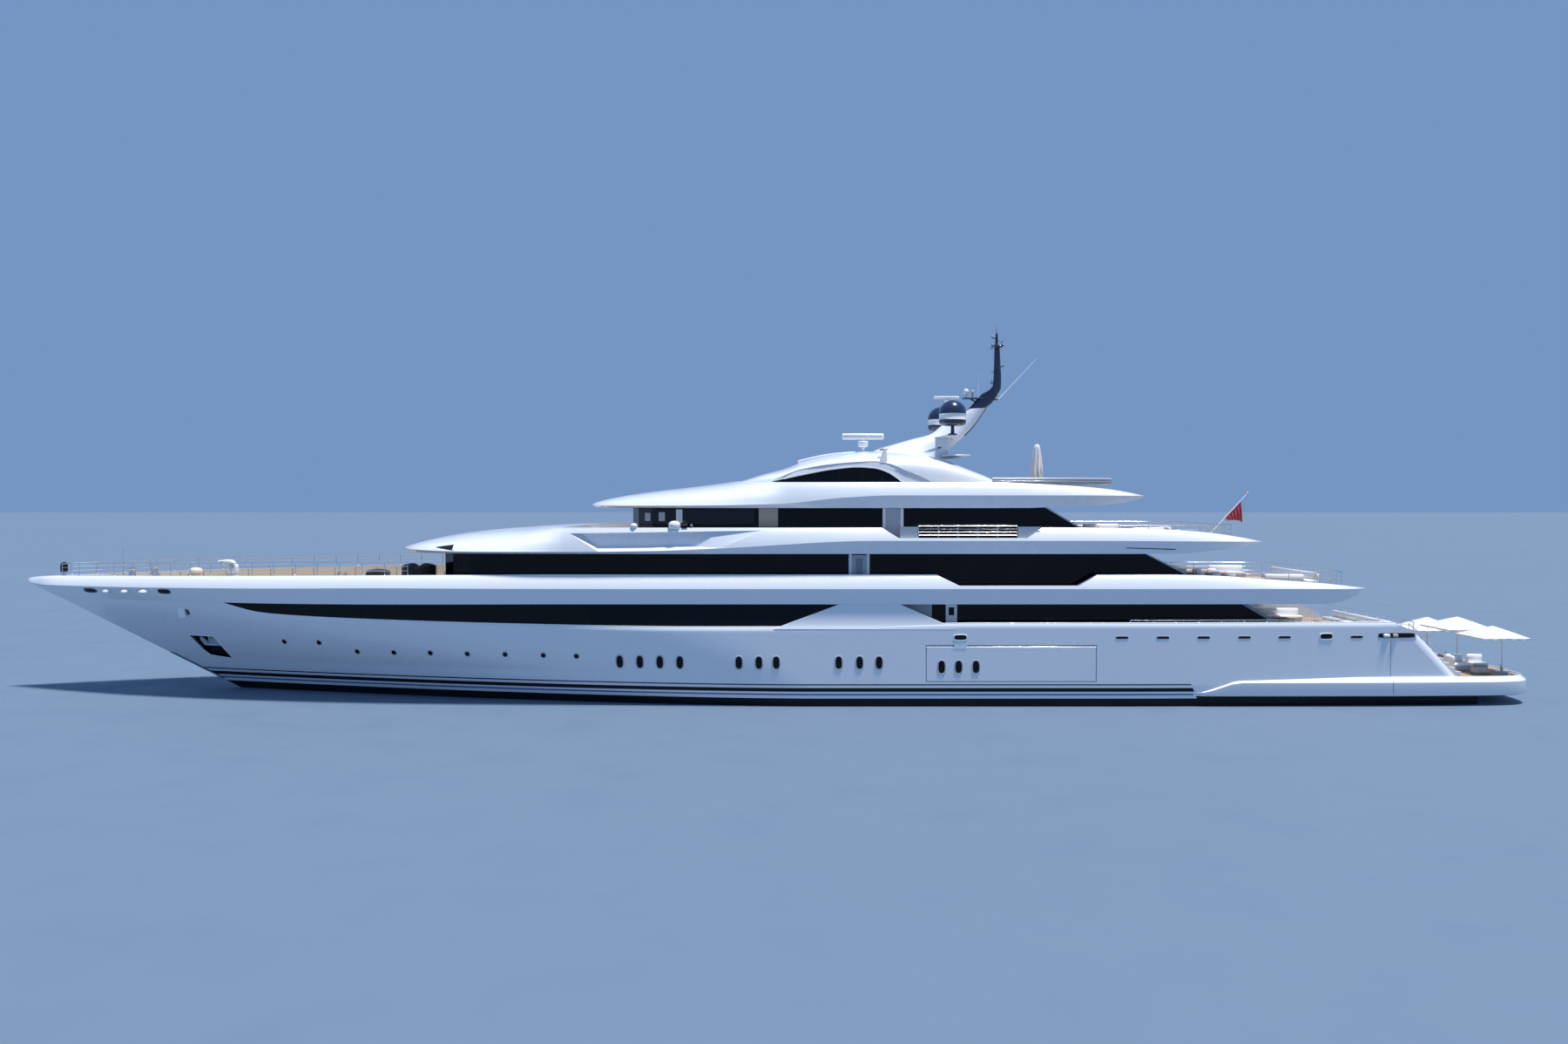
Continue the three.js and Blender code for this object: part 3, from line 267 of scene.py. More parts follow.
def finish_of(name, colour, rough, mottle=0.04, scale=3.0, bump=0.0, bump_scale=40.0, **sockets):
    """A painted, glazed or metal surface: slow mottling, uneven gloss and a faint waviness."""
    paint = Paint(name)
    if bump:
        paint.bump(paint.grain(bump_scale), bump)
    roughness = paint.ranged(paint.grain(scale * 9, 4.0), rough * 0.8, rough * 1.25)
    return paint.finish(colour, mottle, paint.grain(scale), roughness, sockets)


def woven(name, colour, rough, count, mottle=0.06, **sockets):
    """Cloth: two crossed sets of threads over slow patches of fading."""
    paint = Paint(name)
    where = paint.on_model()
    both = paint.node("Math")
    both.operation = "MAXIMUM"
    for i, axis in enumerate("XY"):
        wave = paint.node("TexWave", Scale=count, Distortion=0.4, Detail=1.0)
        wave.bands_direction = axis
        paint.join(where, wave, "Vector")
        paint.join(wave.outputs["Fac"], both, i)
    threads = both.outputs["Value"]
    paint.bump(threads, 0.0006)
    return paint.finish(colour, mottle, paint.grain(9), paint.ranged(threads, rough * 0.9, rough), sockets)


def planked(name, light, dark, width):
    """Teak decking: planks along X with dark seams between them, each plank a little different."""
    paint = Paint(name)
    brick = paint.node(
        "TexBrick", Scale=1.0, Mortar_Size=width * 0.07, Mortar_Smooth=0.2, Brick_Width=width * 26,
        Row_Height=width, Color1=(*light, 1), Color2=(*dark, 1), Mortar=(0.05, 0.045, 0.04, 1),
    )
    paint.join(paint.on_model(), brick, "Vector")
    fibre = paint.grain(40, 3.0, (1, 14, 14))
    shade = paint.node("Mix")
    shade.data_type = "RGBA"
    shade.blend_type = "MULTIPLY"
    shade.inputs["Factor"].default_value = 1.0
    paint.join(brick.outputs["Color"], shade, "A")
    paint.join(paint.two_tone(fibre, (0.8, 0.8, 0.8), (1, 1, 1)), shade, "B")
    paint.join(shade.outputs["Result"], paint.shader, "Base Color")
    paint.join(paint.ranged(fibre, 0.5, 0.75), paint.shader, "Roughness")
    paint.bump(brick.outputs["Fac"], -0.0004)
    return paint.made


GLOSS = {"Coat_Weight": 0.7, "Coat_Roughness": 0.04, "IOR": 1.5}
# Name, colour, roughness, mottling and its scale, bump and its scale
# The white paint's colour is tinted blue: a painted reflection of the blue sea on its shaded sides
WHITE = finish_of("white_gloss_sea_blue_tint", (0.77, 0.80, 0.85), 0.26, 0.006, 1.2, 0.0001, 3.0, **GLOSS)
BRIGHT = finish_of("white_trim", (0.86, 0.865, 0.87), 0.3, 0.02, 5.0, **GLOSS)
CREAM = finish_of("cream_lining", (0.79, 0.71, 0.56), 0.45, 0.04, 4.0)
BEIGE = finish_of("beige_panel", (0.50, 0.42, 0.33), 0.4, 0.06, 4.0)
GREY = finish_of("grey_paint", (0.22, 0.25, 0.30), 0.35, 0.06, 4.0, **GLOSS)
PALE_GREY = finish_of("pale_grey_paint", (0.42, 0.46, 0.52), 0.35, 0.05, 4.0, **GLOSS)
NAVY = finish_of("navy_paint", (0.012, 0.022, 0.06), 0.22, 0.15, 5.0, **GLOSS)
STRIPE_BLUE = finish_of("stripe_blue", (0.07, 0.14, 0.34), 0.28, 0.06, 5.0, **GLOSS)
BLACK = finish_of("boot_black", (0.008, 0.009, 0.012), 0.55, 0.2, 5.0, IOR=1.3)
BOTTOM = finish_of("antifouling_black", (0.014, 0.014, 0.018), 0.75, 0.25, 8.0, 0.0004, 60.0)
GLASS = finish_of("dark_glass", (0.003, 0.0034, 0.006), 0.05, 0.3, 2.0, IOR=1.28)
TINTED = finish_of("tinted_glass", (0.03, 0.035, 0.05), 0.04, 0.1, 2.0, Transmission_Weight=0.55, IOR=1.35)
STEEL = finish_of("polished_steel", (0.78, 0.79, 0.81), 0.2, 0.05, 12.0, Metallic=1.0)
BRONZE = finish_of("polished_bronze", (0.56, 0.38, 0.17), 0.28, 0.15, 9.0, 0.0003, 50.0, Metallic=1.0)
GLOW = finish_of("lamp_lens", (0.85, 0.86, 0.84), 0.15, 0.03, 20.0)
TEAK = planked("teak_deck", (0.50, 0.37, 0.235), (0.43, 0.31, 0.19), 0.009)
# Name, colour, roughness, threads, mottling
CANVAS = woven("white_canvas", (0.84, 0.83, 0.80), 0.85, 160, Sheen_Weight=0.3)
RED_CLOTH = woven("red_flag_cloth", (0.64, 0.06, 0.09), 0.8, 220, 0.1, Sheen_Weight=0.4)
COVER = woven("dark_cover_canvas", (0.02, 0.022, 0.028), 0.75, 150, 0.25, Sheen_Weight=0.2)


# Mesh kit

def placed(name, data):
    made = bpy.data.objects.new(name, data)
    bpy.context.scene.collection.objects.link(made)
    return made


class Form:
    """Shapes gathered into one object, each face with its material."""

    def __init__(self):
        self.points, self.faces, self.looks, self.materials = [], [], [], []

    def add(self, material, *shapes):
        if material not in self.materials:
            self.materials.append(material)
        for points, faces in shapes:
            base = len(self.points)
            self.points += [tuple(p) for p in points]
            self.faces += [tuple(base + i for i in face) for face in faces]
            self.looks += [self.materials.index(material)] * len(faces)
        return self

    def mesh(self, name, merge=1e-6):
        made = bpy.data.meshes.new(name)
        made.from_pydata([tuple(K * c for c in p) for p in self.points], [], self.faces)
        for material in self.materials:
            made.materials.append(material)
        made.polygons.foreach_set("material_index", self.looks)
        tidied = bmesh.new()
        tidied.from_mesh(made)
        bmesh.ops.remove_doubles(tidied, verts=tidied.verts, dist=merge)
        bmesh.ops.dissolve_degenerate(tidied, edges=tidied.edges, dist=1e-7)
        bmesh.ops.recalc_face_normals(tidied, faces=tidied.faces)
        tidied.to_mesh(made)
        tidied.free()
        return made

    def make(self, name, slot="white_paint", sharp=34, body="yacht", replaces=None):
        return piece(self.mesh(name), name, sharp, body, replaces)


def piece(mesh, name, sharp=34, body="yacht", replaces=None):
    """An object from a mesh, riding on a body of the model."""
    made = placed(name, mesh)
    mesh.shade_smooth()
    mesh.set_sharp_from_angle(angle=math.radians(sharp))
    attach(made, body)
    if replaces:
        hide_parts(replaces)
    return made


def skin(rings, around=True, caps=True, along=False):
    """Quads between rings of equally many points. around closes each ring, along joins last to first."""
    count = len(rings[0])
    faces = []
    for r in range(len(rings) if along else len(rings) - 1):
        here, there = r * count, ((r + 1) % len(rings)) * count
        for k in range(count if around else count - 1):
            n = (k + 1) % count
            faces.append((here + k, here + n, there + n, there + k))
    if caps and around and not along:
        last = (len(rings) - 1) * count
        faces.append(tuple(range(count))[::-1])
        faces.append(tuple(range(last, last + count)))
    return [p for ring in rings for p in ring], faces


def block(x, y, z, edge=0.02):
    """A box with chamfered edges, from pairs of limits."""
    spans = [sorted(x), sorted(y), sorted(z)]
    edge = min(edge, *(0.3 * (b - a) for a, b in spans))
    cx, cy, cz = ((a + b) / 2 for a, b in spans)
    hx, hy, hz = ((b - a) / 2 for a, b in spans)
    rings = []
    for level, pull in ((-hz, edge), (edge - hz, 0), (hz - edge, 0), (hz, edge)):
        u, v = hx - pull, hy - pull
        corner = edge * 0.6 if pull else edge
        ring = []
        for sx, sy in ((1, 1), (-1, 1), (-1, -1), (1, -1)):
            ends = [(sx * u, sy * (v - corner)), (sx * (u - corner), sy * v)]
            ring += ends if sx * sy > 0 else ends[::-1]
        rings.append([(cx + px, cy + py, cz + level) for px, py in ring])
    return skin(rings)


def plate(outline, y0, y1):
    """An outline of (x, z) points, from y0 to y1."""
    return skin([[(x, y, z) for x, z in outline] for y in (y0, y1)])


def slab(outline, z0, z1):
    """An outline of (x, y) points, from z0 to z1."""
    return skin([[(x, y, z) for x, y in outline] for z in (z0, z1)])


def both_sides(half):
    """A whole outline of (x, y) points from its port half, bow to stern."""
    return half + [(x, -y) for x, y in reversed(half) if y > 0]


def tube(path, radius, sides=8, closed=False):
    """A round bar along points. radius is one number, or one for each point."""
    path = [Vector(p) for p in path]
    count = len(path)
    radii = radius if isinstance(radius, (list, tuple)) else [radius] * count
    rings, across = [], None
    for i, p in enumerate(path):
        before = path[i - 1] if i or closed else p
        after = path[(i + 1) % count] if i + 1 < count or closed else p
        ahead = (after - before).normalized()
        if across is None:
            across = ahead.orthogonal().normalized()
        across = (across - ahead * across.dot(ahead)).normalized()
        up = ahead.cross(across)
        rings.append([p + radii[i] * (c * across + s * up) for c, s in circle(sides)])
    return skin(rings, along=closed)


def turned(x, y, z, rows, segments=32):
    """A shape of revolution about an upright axis, from (radius, height over z) rows."""
    rings = [[(x + r * c, y + r * s, z + h) for r, h in rows] for c, s in circle(segments)]
    return skin(rings, around=False, along=True)


def station_loft(stations, half):
    """A closed solid through sections along X. half(x) gives port (y, z) rows, from foot to top at y = 0."""
    rings = []
    for x in stations:
        rows = half(x)
        rings.append([(x, y, z) for y, z in rows] + [(x, -y, z) for y, z in rows[-2:0:-1]])
    return skin(rings)


def laid(surface, side, outline, outs):
    """A solid from an outline of (x, z) points on a side surface, at some distances out across the yacht."""
    return skin([[(x, side * (surface(x, z) + out), z) for x, z in outline] for out in outs])


def shaped(name, shape):
    """A shape as a bare object, for joining and cutting."""
    return placed(name, Form().add(WHITE, shape).mesh(name, 2e-6))


def combine(body, operation, *shapes):
    """Joins or cuts a bare object by shapes, and keeps the result."""
    for shape in shapes:
        tool = shaped("tool", shape)
        step = body.modifiers.new("step", "BOOLEAN")
        step.object = tool
        step.operation = operation
        step.solver = "MANIFOLD"
        graph = bpy.context.evaluated_depsgraph_get()
        result = bpy.data.meshes.new_from_object(body.evaluated_get(graph))
        body.modifiers.clear()
        if len(result.polygons) == len(body.data.polygons):
            raise RuntimeError(f"{body.name}: a shape could not be joined or cut")
        body.data = result
        bpy.data.objects.remove(tool)
    return body


def all_white(centre, normal):
    return WHITE


def settle(bare, name, replaces, rule=all_white, sharp=34):
    """Turns a bare object into a piece, each face in what rule(centre, normal) names, in real metres."""
    mesh = bare.data
    bpy.data.objects.remove(bare)
    mesh.name = name
    mesh.materials.clear()
    looks = [rule(face.center / K, face.normal) for face in mesh.polygons]
    known = list(dict.fromkeys(looks))
    for material in known:
        mesh.materials.append(material)
    mesh.polygons.foreach_set("material_index", [known.index(material) for material in looks])
    return piece(mesh, name, sharp=sharp, replaces=replaces)


def dress(node, material, rounding=0.0):
    """Gives a CAD node its material, and rounds its edges with modifiers."""
    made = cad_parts[node]
    made.data.materials.clear()
    made.data.materials.append(material)
    if rounding:
        made.modifiers.new("weld", "WELD").merge_threshold = 2e-5
        bevel = made.modifiers.new("rounding", "BEVEL")
        bevel.width = rounding * K
        bevel.segments = 2
        bevel.limit_method = "ANGLE"
        bevel.angle_limit = math.radians(40)
        bevel.harden_normals = True


# Hull

STRIPES = (0.49, 0.68, 0.78, 0.905, 1.134, 1.29, 1.37)
LEDGE_FRONT_X = -27
EDGE_ROLL, EDGE_LEAN = 0.2, 0.1  # height and depth of the hull's rolled top edge, which catches the light
EDGE_PROFILE = ((0.12, 0.6), (0.02, 0.65), (0, 0.71))  # inset and height of the ledge's foot
LEDGE_CHAMFER = 0.3
SLOPE_TOP = (-41.0, 4.18)
SLOPE_FOOT = (PLATFORM_FRONT_X, 1.82)
STERN_SLOPE = [
    (-39.2, 5.04), SLOPE_TOP, SLOPE_FOOT, (PLATFORM_FRONT_X, 0.58), (-50, 0.58), (-50, 6.5), (-39.2, 6.5),
]
STERN_BAY_Y = 5.95
QUARTER_RADIUS = 0.6
DOOR_AFT, DOOR_FRONT, DOOR_FOOT, DOOR_TOP = -21.1, -10.95, 1.55, 3.65
DOOR_HINGE_Y, DOOR_HINGE_Z = 7.025, 3.575
WELL_WALL, WELL_TOP_Z = 0.25, 5.4
BULB_X, BULB_Z, BULB_SIZE = 30.2, -2.35, (6, 0.95, 1.15)
ANCHOR_POCKET = [(36.18, 3.66), (34.4, 3.64), (33.52, 2.08), (35.15, 2.26), (35.59, 2.67)]
KEEL_BAR_TOP = BOTTOM_Z + 0.3
KEEL_BAR = [(21, KEEL_BAR_TOP), (-12, KEEL_BAR_TOP), (-35, -1.6), (-36.5, -1.9), (-33, KEEL_Z), (20, KEEL_Z)]
ledge_top = straight([(-27, 0.9), (-29.3, 1.66), (-29.8, 1.74), (-45, 1.74)])
ledge_y = smooth([(-27, 7), (-28, 7.08), (-38, 7.04), (-43.2, 6.87)])


def hull_side(x, z):
    """The hull's outer face, with its rolled top edge."""
    roll = clamp((z - hull_top(x) + EDGE_ROLL) / EDGE_ROLL) ** 1.5 * clamp((33 - x) / 3)
    return side_y(x, z) - EDGE_LEAN * roll


def hull_shape():
    columns, upper = 190, 20
    depths = (1, 0.997, 0.985, 0.96, 0.92, 0.86, 0.78, 0.68, 0.57, 0.45, 0.32, 0.2, 0.1)
    shares = [(i / columns) ** 1.25 for i in range(columns + 1)]
    rows = []
    for depth in depths:
        xs = [mix(STEM_FOOT_X, TRANSOM_X, t) for t in shares]
        rows.append([(x, bottom_y(x, 1 - depth), min(0, keel_z(x)) * depth) for x in xs])
    for z in (0, 0.25, *STRIPES, 1.6, 1.8, CHINE_Z):
        xs = [mix(stem_x(z), TRANSOM_X, t) for t in shares]
        rows.append([(x, hull_side(x, z), z) for x in xs])
    for level in range(1, upper + 1):
        up = level / upper
        up = up if up < 0.5 else 0.5 + 0.5 * (1 - (1 - 2 * (up - 0.5)) ** 1.3)
        row = []
        for t in shares:
            z = 5
            for _ in range(6):
                x = mix(stem_x(z), TRANSOM_X, t)
                z = mix(CHINE_Z, hull_top(x), up)
            row.append((x, hull_side(x, z), z))
        rows.append(row)
    port, faces = skin(rows, around=False)
    count, width = len(port), columns + 1
    top = count - width
    faces += [tuple(count + i for i in reversed(face)) for face in faces]
    edges = [(top + k, top + k + 1) for k in range(columns)]
    edges += [(r * width + columns, (r + 1) * width + columns) for r in range(len(rows) - 1)]
    faces += [(a, b, count + b, count + a) for a, b in edges]
    return port + [(x, -y, z) for x, y, z in port], faces


def bulb_shape():
    long, wide, tall = BULB_SIZE
    rings = []
    for i in range(1, 24):
        t = math.pi * i / 24
        x, y, z = long * math.cos(t), wide * math.sin(t), tall * math.sin(t)
        rings.append([(BULB_X + x, y * c, BULB_Z + z * s) for c, s in circle(28)])
    return skin(rings)


def ledge_section(x):
    y, top = ledge_y(x), ledge_top(x)
    rows = [(0, 0.6)] + [(y - inset, z) for inset, z in EDGE_PROFILE]
    return rows + [(y, max(0.85, top - LEDGE_CHAMFER)), (y - LEDGE_CHAMFER, top), (0, top)]


def well_y(x):
    return side_y(x, 4.9)


def well_section(x):
    y = well_y(x) - WELL_WALL
    return [(0, MAIN_DECK_Z), (y, MAIN_DECK_Z), (y, WELL_TOP_Z), (0, WELL_TOP_Z)]


def box_of(x, y, z):
    """A plain box for cutting."""
    return skin([[(end, y[a], z[b]) for a, b in ((0, 0), (1, 0), (1, 1), (0, 1))] for end in x])


def quarter_round(side):
    """What comes off the edge between the hull's side and its slanted after end."""
    radius = QUARTER_RADIUS
    run = Vector((SLOPE_FOOT[0] - SLOPE_TOP[0], 0, SLOPE_FOOT[1] - SLOPE_TOP[1])).normalized()
    inward = Vector((-run.z, 0, run.x)) * math.copysign(1, -run.z)
    arc = [(radius * (1 - math.sin(t)), radius * (1 - math.cos(t))) for t in spread(0, math.pi / 2, 8)]
    rings = []
    for (x, z), reach in ((SLOPE_TOP, -0.35), (SLOPE_FOOT, 0.6)):
        corner = Vector((x, 0, z)) + run * reach
        y = side_y(x, z)
        rows = [(deep, y - off) for deep, off in arc] + [(-1, y - radius), (-1, y + 1), (radius, y + 1)]
        spots = [(corner + inward * deep, out) for deep, out in rows]
        rings.append([(spot.x, side * out, spot.z) for spot, out in spots])
    return skin(rings)


def hull_paint(centre, normal):
    x, y, z = centre
    # Inside the anchor pocket, dark below its middle
    if 33.5 < x < 36.2 and 2 < z < 3.67 and abs(y) < side_y(x, z) - 0.04:
        return GREY if z > 2.92 else BLACK
    if z < 0:
        return BOTTOM
    if x < LEDGE_FRONT_X:
        return BLACK if z < 0.61 and normal.z < 0.5 else WHITE
    looks = (BLACK, WHITE, STRIPE_BLUE, WHITE, BLACK, WHITE, NAVY, WHITE)
    return looks[bisect.bisect(STRIPES, z)]


def make_hull():
    hull = shaped("hull", hull_shape())
    stations = [-43.2, -42, -40, -38, -36, -34, -32, -30.6, -30, -29.65, -29.3, -28.9, -28.2, -27.6, -27]
    door = (DOOR_AFT - 0.05, DOOR_FRONT + 0.05), (-WIDE, WIDE), (DOOR_FOOT - 0.05, DOOR_TOP + 0.06)
    combine(hull, "UNION", bulb_shape(), plate(KEEL_BAR, -0.25, 0.25))
    combine(
        hull, "DIFFERENCE", station_loft([*spread(-45, -22, 24), WELL_FRONT_X], well_section),
        plate(STERN_SLOPE, -WIDE, WIDE), box_of(*door), quarter_round(1), quarter_round(-1),
    )
    combine(hull, "UNION", station_loft(stations, ledge_section))
    combine(hull, "DIFFERENCE", box_of((-50, TRANSOM_WALL_X), (-STERN_BAY_Y, STERN_BAY_Y), (PLATFORM_Z, 6)))
    for _, side in SIDES:
        hinge = [(x, side * DOOR_HINGE_Y, DOOR_HINGE_Z) for x in (DOOR_AFT - 0.26, DOOR_FRONT + 0.26)]
        combine(hull, "DIFFERENCE", tube(hinge, 0.05, 16), laid(side_y, side, ANCHOR_POCKET, (-0.32, 1.5)))
    settle(hull, "hull_skin", "hull", hull_paint, 30)


# Deck shells: a slab with its bulwarks, closed by a brow at the front

BOXY = smooth([(0, 0), (0.25, 0.08), (0.7, 0.28), (1, 0.5)])  # height, how far the upper face draws in
ROUND = smooth([(0, 0), (0.35, 0.07), (0.62, 0.22), (0.87, 0.5), (1, 1)])


def shell_section(form, x):
    """Foot, lower face, knuckle, rounded upper face and top of a shell at x."""
    foot, knuckle, top, y = (form[key](x) for key in ("foot", "knuckle", "top", "y"))
    crown, rise = form["crown"](x), top - knuckle
    lower = max(0.15 * y, y - form["slope"](x))
    rows = [(0, foot), (lower, foot)]
    rows += [(mix(lower, y, t), mix(foot, knuckle, t)) for t in (0.33, 0.66)]
    rows.append((y, knuckle))
    for up in (0.08, 0.16, 0.25, 0.35, 0.46, 0.58, 0.7, 0.8, 0.88, 0.94, 0.98, 1):
        plain = y - BOXY(up) * min(1, y / 1.1)
        rows.append((mix(plain, y * (1 - ROUND(up)), crown), knuckle + rise * up))
    return rows + [(0, top)]


def face_of(form):
    """A shell's outer face: half-breadth at x and z."""
    def y(x, z):
        rows = shell_section(form, x)[1:-1]
        return level_y(rows, z, rows[-1][0])
    return y


def tray_y(form, x):
    return max(0.2, form["y"](x) - BULWARK)


def tray(form, stations, deck):
    """The space inside a shell's bulwarks, above its deck."""
    def half(x):
        y = tray_y(form, x)
        return [(0, deck), (y, deck), (y, deck + 3), (0, deck + 3)]
    return station_loft(stations, half)


NOSE_X = 46.8
nose_y = smooth([(NOSE_X, 0.377), (47.1, 0.32), (47.35, 0.23), (47.5, 0.13), (47.56, 0.06)])
nose_foot = smooth([(45, 5.74), (46.4, 6.442), (47.1, 6.794), (47.4, 6.97), (47.56, 7.1)])
upper_corner = smooth([(-37.9, 0.86), (-37.3, 0.93), (-36, 0.975), (-33, 1)])
plain_slope = smooth([(-37.9, 0.05), (-36, 0.27), (20, 0.27)])


def upper_foot_z(x):
    return max(upper_foot(x), nose_foot(x))


def upper_y(x):
    return nose_y(x) if x > NOSE_X else side_y(x, 7.08) * upper_corner(x)


def upper_slope(x):
    """Aft the lower face leans in, and forward it carries on the hull's flare."""
    flare = max(0.02, upper_y(x) - side_y(x, upper_foot_z(x)))
    return mix(plain_slope(min(x, 8)), flare, clamp((x - 8) / 24))


# Each shell by x: heights of its foot, knuckle and top, half-breadth y, the lower face's slope inwards,
# and how far the upper face is a round crown instead of a boxy bulwark
UPPER = {
    "foot": upper_foot_z,
    "knuckle": smooth([
        (-37.9, 7.035), (-30, 7.08), (20, 7.08), (32, 6.95), (46, 6.85), (47.1, 6.95), (47.56, 7.13),
    ]),
    "top": smooth([
        (-37.9, 7.04), (-35.4, 7.33), (-32.3, 7.56), (-28.3, 7.84), (-25, 7.92), (10, 7.92), (20, 7.84),
        (31, 7.7), (45.3, 7.43), (46.6, 7.37), (47.2, 7.31), (47.45, 7.24), (47.56, 7.17),
    ]),
    "y": upper_y,
    "slope": upper_slope,
    "crown": lambda x: 0,
}
BRIDGE = {
    "foot": smooth([
        (-31.6, 9.88), (-30.7, 9.66), (-28.5, 9.34), (-26, BRIDGE_FOOT_Z), (20, BRIDGE_FOOT_Z), (21.5, 9.22),
        (22.3, 9.3),
    ]),
    "knuckle": smooth([
        (-31.6, 9.885), (-20, 9.96), (-8, 9.96), (1.5, 9.5), (4, 9.38), (10, 9.3), (16, 9.29), (22, 9.34),
        (22.3, 9.31),
    ]),
    "top": smooth([
        (-31.6, 9.89), (-30.6, 10.08), (-27.4, 10.5), (-24.4, 10.66), (-18, 10.74), (12, 10.74), (14.9, 10.6),
        (17.5, 10.38), (19.2, 10.14), (20.5, 9.88), (21.5, 9.62), (22.1, 9.42), (22.3, 9.32),
    ]),
    "y": smooth([
        (-31.6, 5.7), (-31, 6.1), (-30, 6.4), (-26, 6.75), (-20, 6.9), (8, 6.9), (12, 6.82), (15, 6.6),
        (17.5, 6.2), (19, 5.6), (20.5, 4.5), (21.5, 3.1), (22.1, 1.6), (22.3, 0),
    ]),
    "slope": smooth([(-31.6, 0.05), (-29, 0.3), (-8, 0.35), (4, 0.25), (16, 0.3), (22, 0.2), (22.3, 0)]),
    "crown": smooth([(10.95, 0), (14.2, 1)]),
}
SUN = {
    "foot": smooth([
        (-24.75, 12.66), (-24.2, 12.42), (-23.3, 12.22), (-21.5, 12.07), (-18.3, 11.96), (-15, SUN_FOOT_Z),
        (8.5, SUN_FOOT_Z), (9.8, 11.98), (10.3, 12.07),
    ]),
    "knuckle": smooth([
        (-24.75, 12.67), (-20, 12.69), (-9, 12.69), (-6, 12.55), (-2.4, 12.2), (2, 12.08), (8, 12.05),
        (10, 12.07), (10.3, 12.08),
    ]),
    "top": smooth([
        (-24.75, 12.68), (-23.9, 12.84), (-21.9, 13.12), (-18.3, 13.37), (-15, 13.48), (-2.5, 13.5),
        (0.4, 13.63), (1.05, 13.58), (2.06, 13.44), (4, 13.2), (5.7, 13.01), (7.8, 12.72), (9.2, 12.45),
        (10, 12.22), (10.3, 12.09),
    ]),
    "y": smooth([
        (-24.75, 4.7), (-24.3, 5.1), (-23.5, 5.4), (-21, 5.85), (-17, 6.1), (-2, 6.1), (2, 5.9), (5, 5.35),
        (7.5, 4.35), (9, 3.2), (9.9, 1.8), (10.3, 0),
    ]),
    "slope": smooth([(-24.75, 0.05), (-22.4, 0.3), (-6, 0.3), (0, 0.2), (8, 0.25), (10.3, 0)]),
    "crown": smooth([(-2.5, 0), (1.2, 1)]),
}
UPPER_STEP = [(-11.57, 7.92), (-12.96, 7.26), (-20.1, 7.26), (-21.3, 7.92), (-21.3, 8.5), (-11.57, 8.5)]
BRIDGE_STEP = [(-8.3, 10.74), (-9.3, 10.12), (-17, 10.12), (-18, 10.74), (-18, 11.5), (-8.3, 11.5)]
SCOOP_MOUTH = [(10.55, 10.4), (-1.1, 10.57), (1.4, 9.53), (5, 9.36), (8.75, 9.31)]
SCOOP_BACK = [(9.75, 10.33), (2.3, 10.45), (3.5, 9.62), (6, 9.58), (8.9, 9.56)]
SCOOP_BACK_Y = 6.3


def scoop(side):
    """The hollow in the bridge shell's side, from its flat back to past its face."""
    face = face_of(BRIDGE)
    rings = [[(x, side * SCOOP_BACK_Y, z) for x, z in SCOOP_BACK]]
    rings += [[(x, side * (face(x, z) + out), z) for x, z in SCOOP_MOUTH] for out in (0.005, 1)]
    return skin(rings)


def make_shell(name, form, ends, count, inside, deck, *cuts):
    """A shell lofted from its after end to its tip, with stations that crowd towards the tip."""
    start, stop, tip = ends
    stations = spread(start, stop, count)
    stations += [mix(stop, tip, 1 - (1 - t) ** 2) for t in spread(0, 1, 14)[1:]]
    shell = shaped("shell", station_loft(stations, lambda x: shell_section(form, x)))
    combine(shell, "DIFFERENCE", tray(form, inside, deck), *cuts)
    settle(shell, f"{name}_deck_skin", f"{name}_deck_shell")


def make_shells():
    steps = [plate(outline, -WIDE, WIDE) for outline in (UPPER_STEP, BRIDGE_STEP)]
    inside = [*spread(-38.5, -22, 18), *spread(0, 43.5, 40)]
    make_shell("upper", UPPER, (-37.9, 45, 47.56), 110, inside, UPPER_DECK_Z, steps[0])
    inside = [*spread(-32.5, -18, 16), 8, 9, 10, 10.9]
    cuts = steps[1], scoop(1), scoop(-1)
    make_shell("bridge", BRIDGE, (-31.6, 19.5, 22.3), 90, inside, BRIDGE_DECK_Z, *cuts)
    make_shell("sun", SUN, (-24.75, 8, 10.3), 78, [*spread(-25.4, -15, 14), -4, -2.6], SUN_DECK_Z)


# Deckhouses

MAIN_FACE_Y = 5.95
UPPER_FACE_Y = 5.75
BRIDGE_FACE_Y = 5.3
GAP = 0.003


def house_side(x, share):
    """The long main-deck window: half-breadth and height at x, from share 0 at its foot to 1 at its head."""
    foot, top = hull_top(x) + GAP, upper_foot(x) - GAP
    low = side_y(x, foot) - 0.12
    high = min(low, side_y(x, top) - 0.32 + 0.12 * clamp((x - 8) / 24))
    return mix(low, high, share), mix(foot, top, share)


def make_main_house():
    def half(x):
        return [(0, house_side(x, 0)[1]), *(house_side(x, s) for s in (0, 0.5, 1)), (0, house_side(x, 1)[1])]

    front, foot, head = WELL_FRONT_X - GAP, MAIN_DECK_Z + GAP, UPPER_FOOT_Z - GAP
    aft = [(front, foot), (front, head), (-30.5, head), (-32.1, 5.2), (-32.1, foot)]
    house = Form()
    house.add(GLASS, station_loft([*spread(WELL_FRONT_X, 24, 40), *spread(24.6, 32.5, 24)], half))
    house.add(GLASS, plate(aft, -MAIN_FACE_Y, MAIN_FACE_Y))
    house.make("main_deck_glass", "dark_glass", 20, replaces="main_deck_house")


# The domed house on the sun deck

